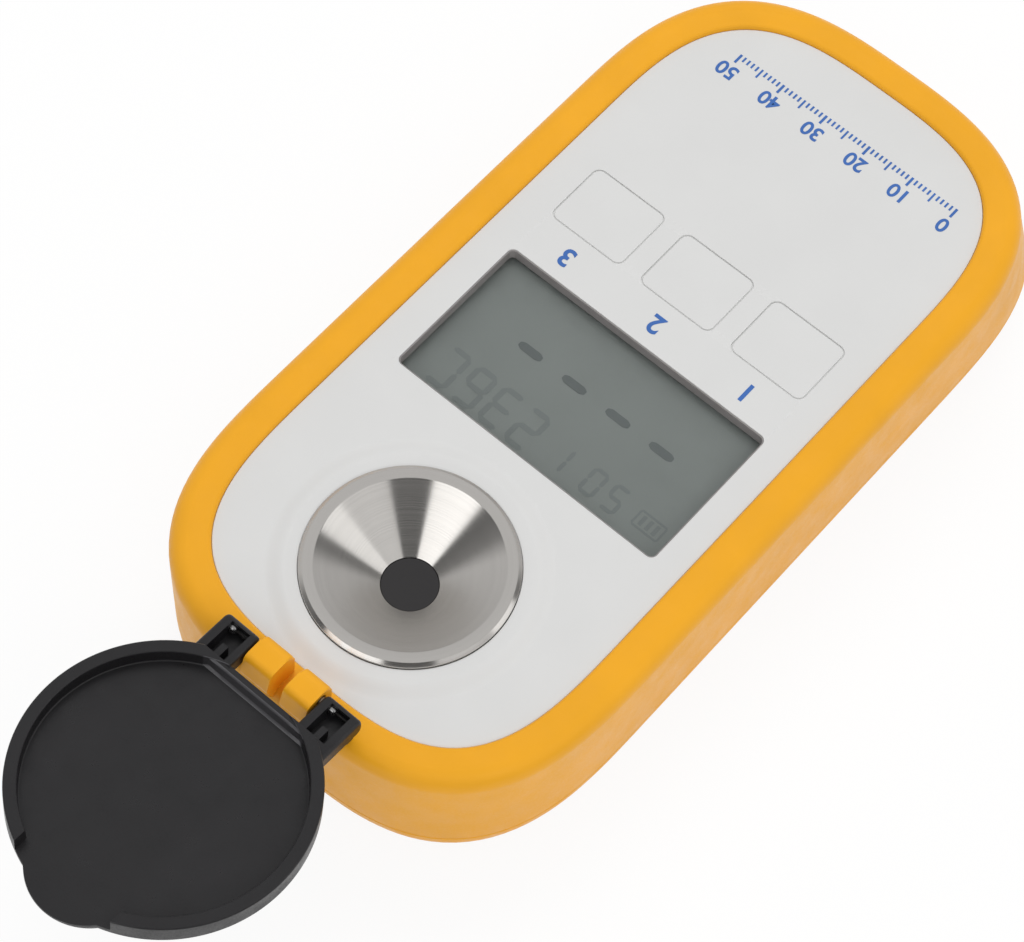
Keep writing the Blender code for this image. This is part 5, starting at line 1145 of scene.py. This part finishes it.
TENT_TOP_SHARES = (0.78, 0.86)


def emptied(owner):
    """The node tree of a material or a world, with nothing in it."""
    nodes = Nodes(owner)
    nodes.tree.nodes.clear()
    return nodes


def seen_directly(nodes):
    """1 for camera, glossy and transmission rays, 0 for the others."""
    path = nodes.add("ShaderNodeLightPath").outputs
    total = path["Is Camera Ray"]
    for name in ("Is Glossy Ray", "Is Transmission Ray"):
        total = nodes.add("ShaderNodeMath", {0: total, 1: path[name]}, operation="MAXIMUM").outputs[0]
    return total


floor_finish = bpy.data.materials.new("floor_white")
nodes = emptied(floor_finish)
lit, shown = [nodes.add("ShaderNodeBsdfDiffuse", {"Color": (level, level, level, 1)}).outputs[0]
              for level in (FLOOR_ALBEDO, 1)]
glow = nodes.add("ShaderNodeEmission").outputs[0]
shown = nodes.add("ShaderNodeMixShader", {0: FLOOR_GLOW_SHARE, 1: shown, 2: glow}).outputs[0]
surface = nodes.add("ShaderNodeMixShader", {0: seen_directly(nodes), 1: lit, 2: shown}).outputs[0]
nodes.add("ShaderNodeOutputMaterial", {"Surface": surface})
bm = bmesh.new()
bmesh.ops.create_grid(bm, x_segments=1, y_segments=1, size=FLOOR_SIZE / 2)
floor = build("floor", bm, flat=True)
floor.location = (0, 0, -FLOOR_DROP)
floor.data.materials.append(floor_finish)

world = bpy.data.worlds.new("sky")
scene.world = world
nodes = emptied(world)
level = nodes.remap(seen_directly(nodes), AMBIENT, 1.0, span=(0.0, 1.0))
sky = nodes.add("ShaderNodeBackground", {"Strength": level}).outputs[0]
nodes.add("ShaderNodeOutputWorld", {"Surface": sky})

for index, (place, size, power) in enumerate(LAMPS, 1):
    lamp = bpy.data.lights.new(f"lamp_{index}", "AREA")
    lamp.shape = "DISK"
    lamp.size = size
    lamp.energy = power
    holder = bpy.data.objects.new(f"lamp_{index}", lamp)
    holder.location = place
    holder.rotation_euler = (Vector((0, 0, 0)) - Vector(place)).to_track_quat("-Z", "Y").to_euler()
    holder.visible_glossy = False
    holder.visible_transmission = False
    scene.collection.objects.link(holder)

# Light tent: what the steel and the gloss reflect, bright cards and dark gaps round the object
tent_finish = bpy.data.materials.new("tent")
nodes = emptied(tent_finish)
place = nodes.add("ShaderNodeTexCoord").outputs["Object"]
parts = nodes.add("ShaderNodeSeparateXYZ", {0: place}).outputs
angle = nodes.add("ShaderNodeMath", {0: parts["Y"], 1: parts["X"]}, operation="ARCTAN2").outputs[0]
azimuth_share = nodes.remap(angle, 0.0, 1.0, span=(-math.pi, math.pi))
strongest = max(value for _, value in TENT_SECTORS)


def sector_level(sectors):
    """The tent's level from the azimuth, given as pairs of azimuth and level."""
    ramp = nodes.add("ShaderNodeValToRGB", {"Fac": azimuth_share})
    stops = ramp.color_ramp.elements
    while len(stops) > 1:
        stops.remove(stops[0])
    for index, (azimuth, value) in enumerate(sectors):
        position = (azimuth + 180) / 360
        stop = stops[0] if index == 0 else stops.new(position)
        stop.position = position
        stop.color = (value / strongest, value / strongest, value / strongest, 1)
    scaled = nodes.add("ShaderNodeMath", {0: ramp.outputs["Color"], 1: strongest}, operation="MULTIPLY")
    return scaled.outputs[0]


def height_mix(shares, below, above):
    """A blend of two levels between two heights, given as shares of the tent's radius."""
    height = nodes.remap(parts["Z"], 0.0, 1.0, span=[share * TENT_RADIUS for share in shares],
                         interpolation_type="SMOOTHSTEP")
    return nodes.add("ShaderNodeMix", {0: height, 2: below, 3: above}).outputs[0]


around = height_mix(TENT_LOW_SHARES, sector_level(TENT_LOW_SECTORS), sector_level(TENT_SECTORS))
glow = nodes.add("ShaderNodeEmission", {"Strength": height_mix(TENT_TOP_SHARES, around, TENT_TOP)}).outputs[0]
nodes.add("ShaderNodeOutputMaterial", {"Surface": glow})
tent_finish.cycles.emission_sampling = "NONE"
bm = bmesh.new()
bmesh.ops.create_uvsphere(bm, u_segments=ROUND_SIDES // 2, v_segments=ROUND_SIDES // 4, radius=TENT_RADIUS)
bmesh.ops.delete(bm, geom=[v for v in bm.verts if v.co.z < -MERGE], context="VERTS")
tent = build("tent", bm)
tent.location = (0, WELL_Y, 0)
tent.data.materials.append(tent_finish)
for kind in ("camera", "diffuse", "transmission", "shadow", "volume_scatter"):
    setattr(tent, f"visible_{kind}", False)

scene.view_settings.view_transform = "Standard"
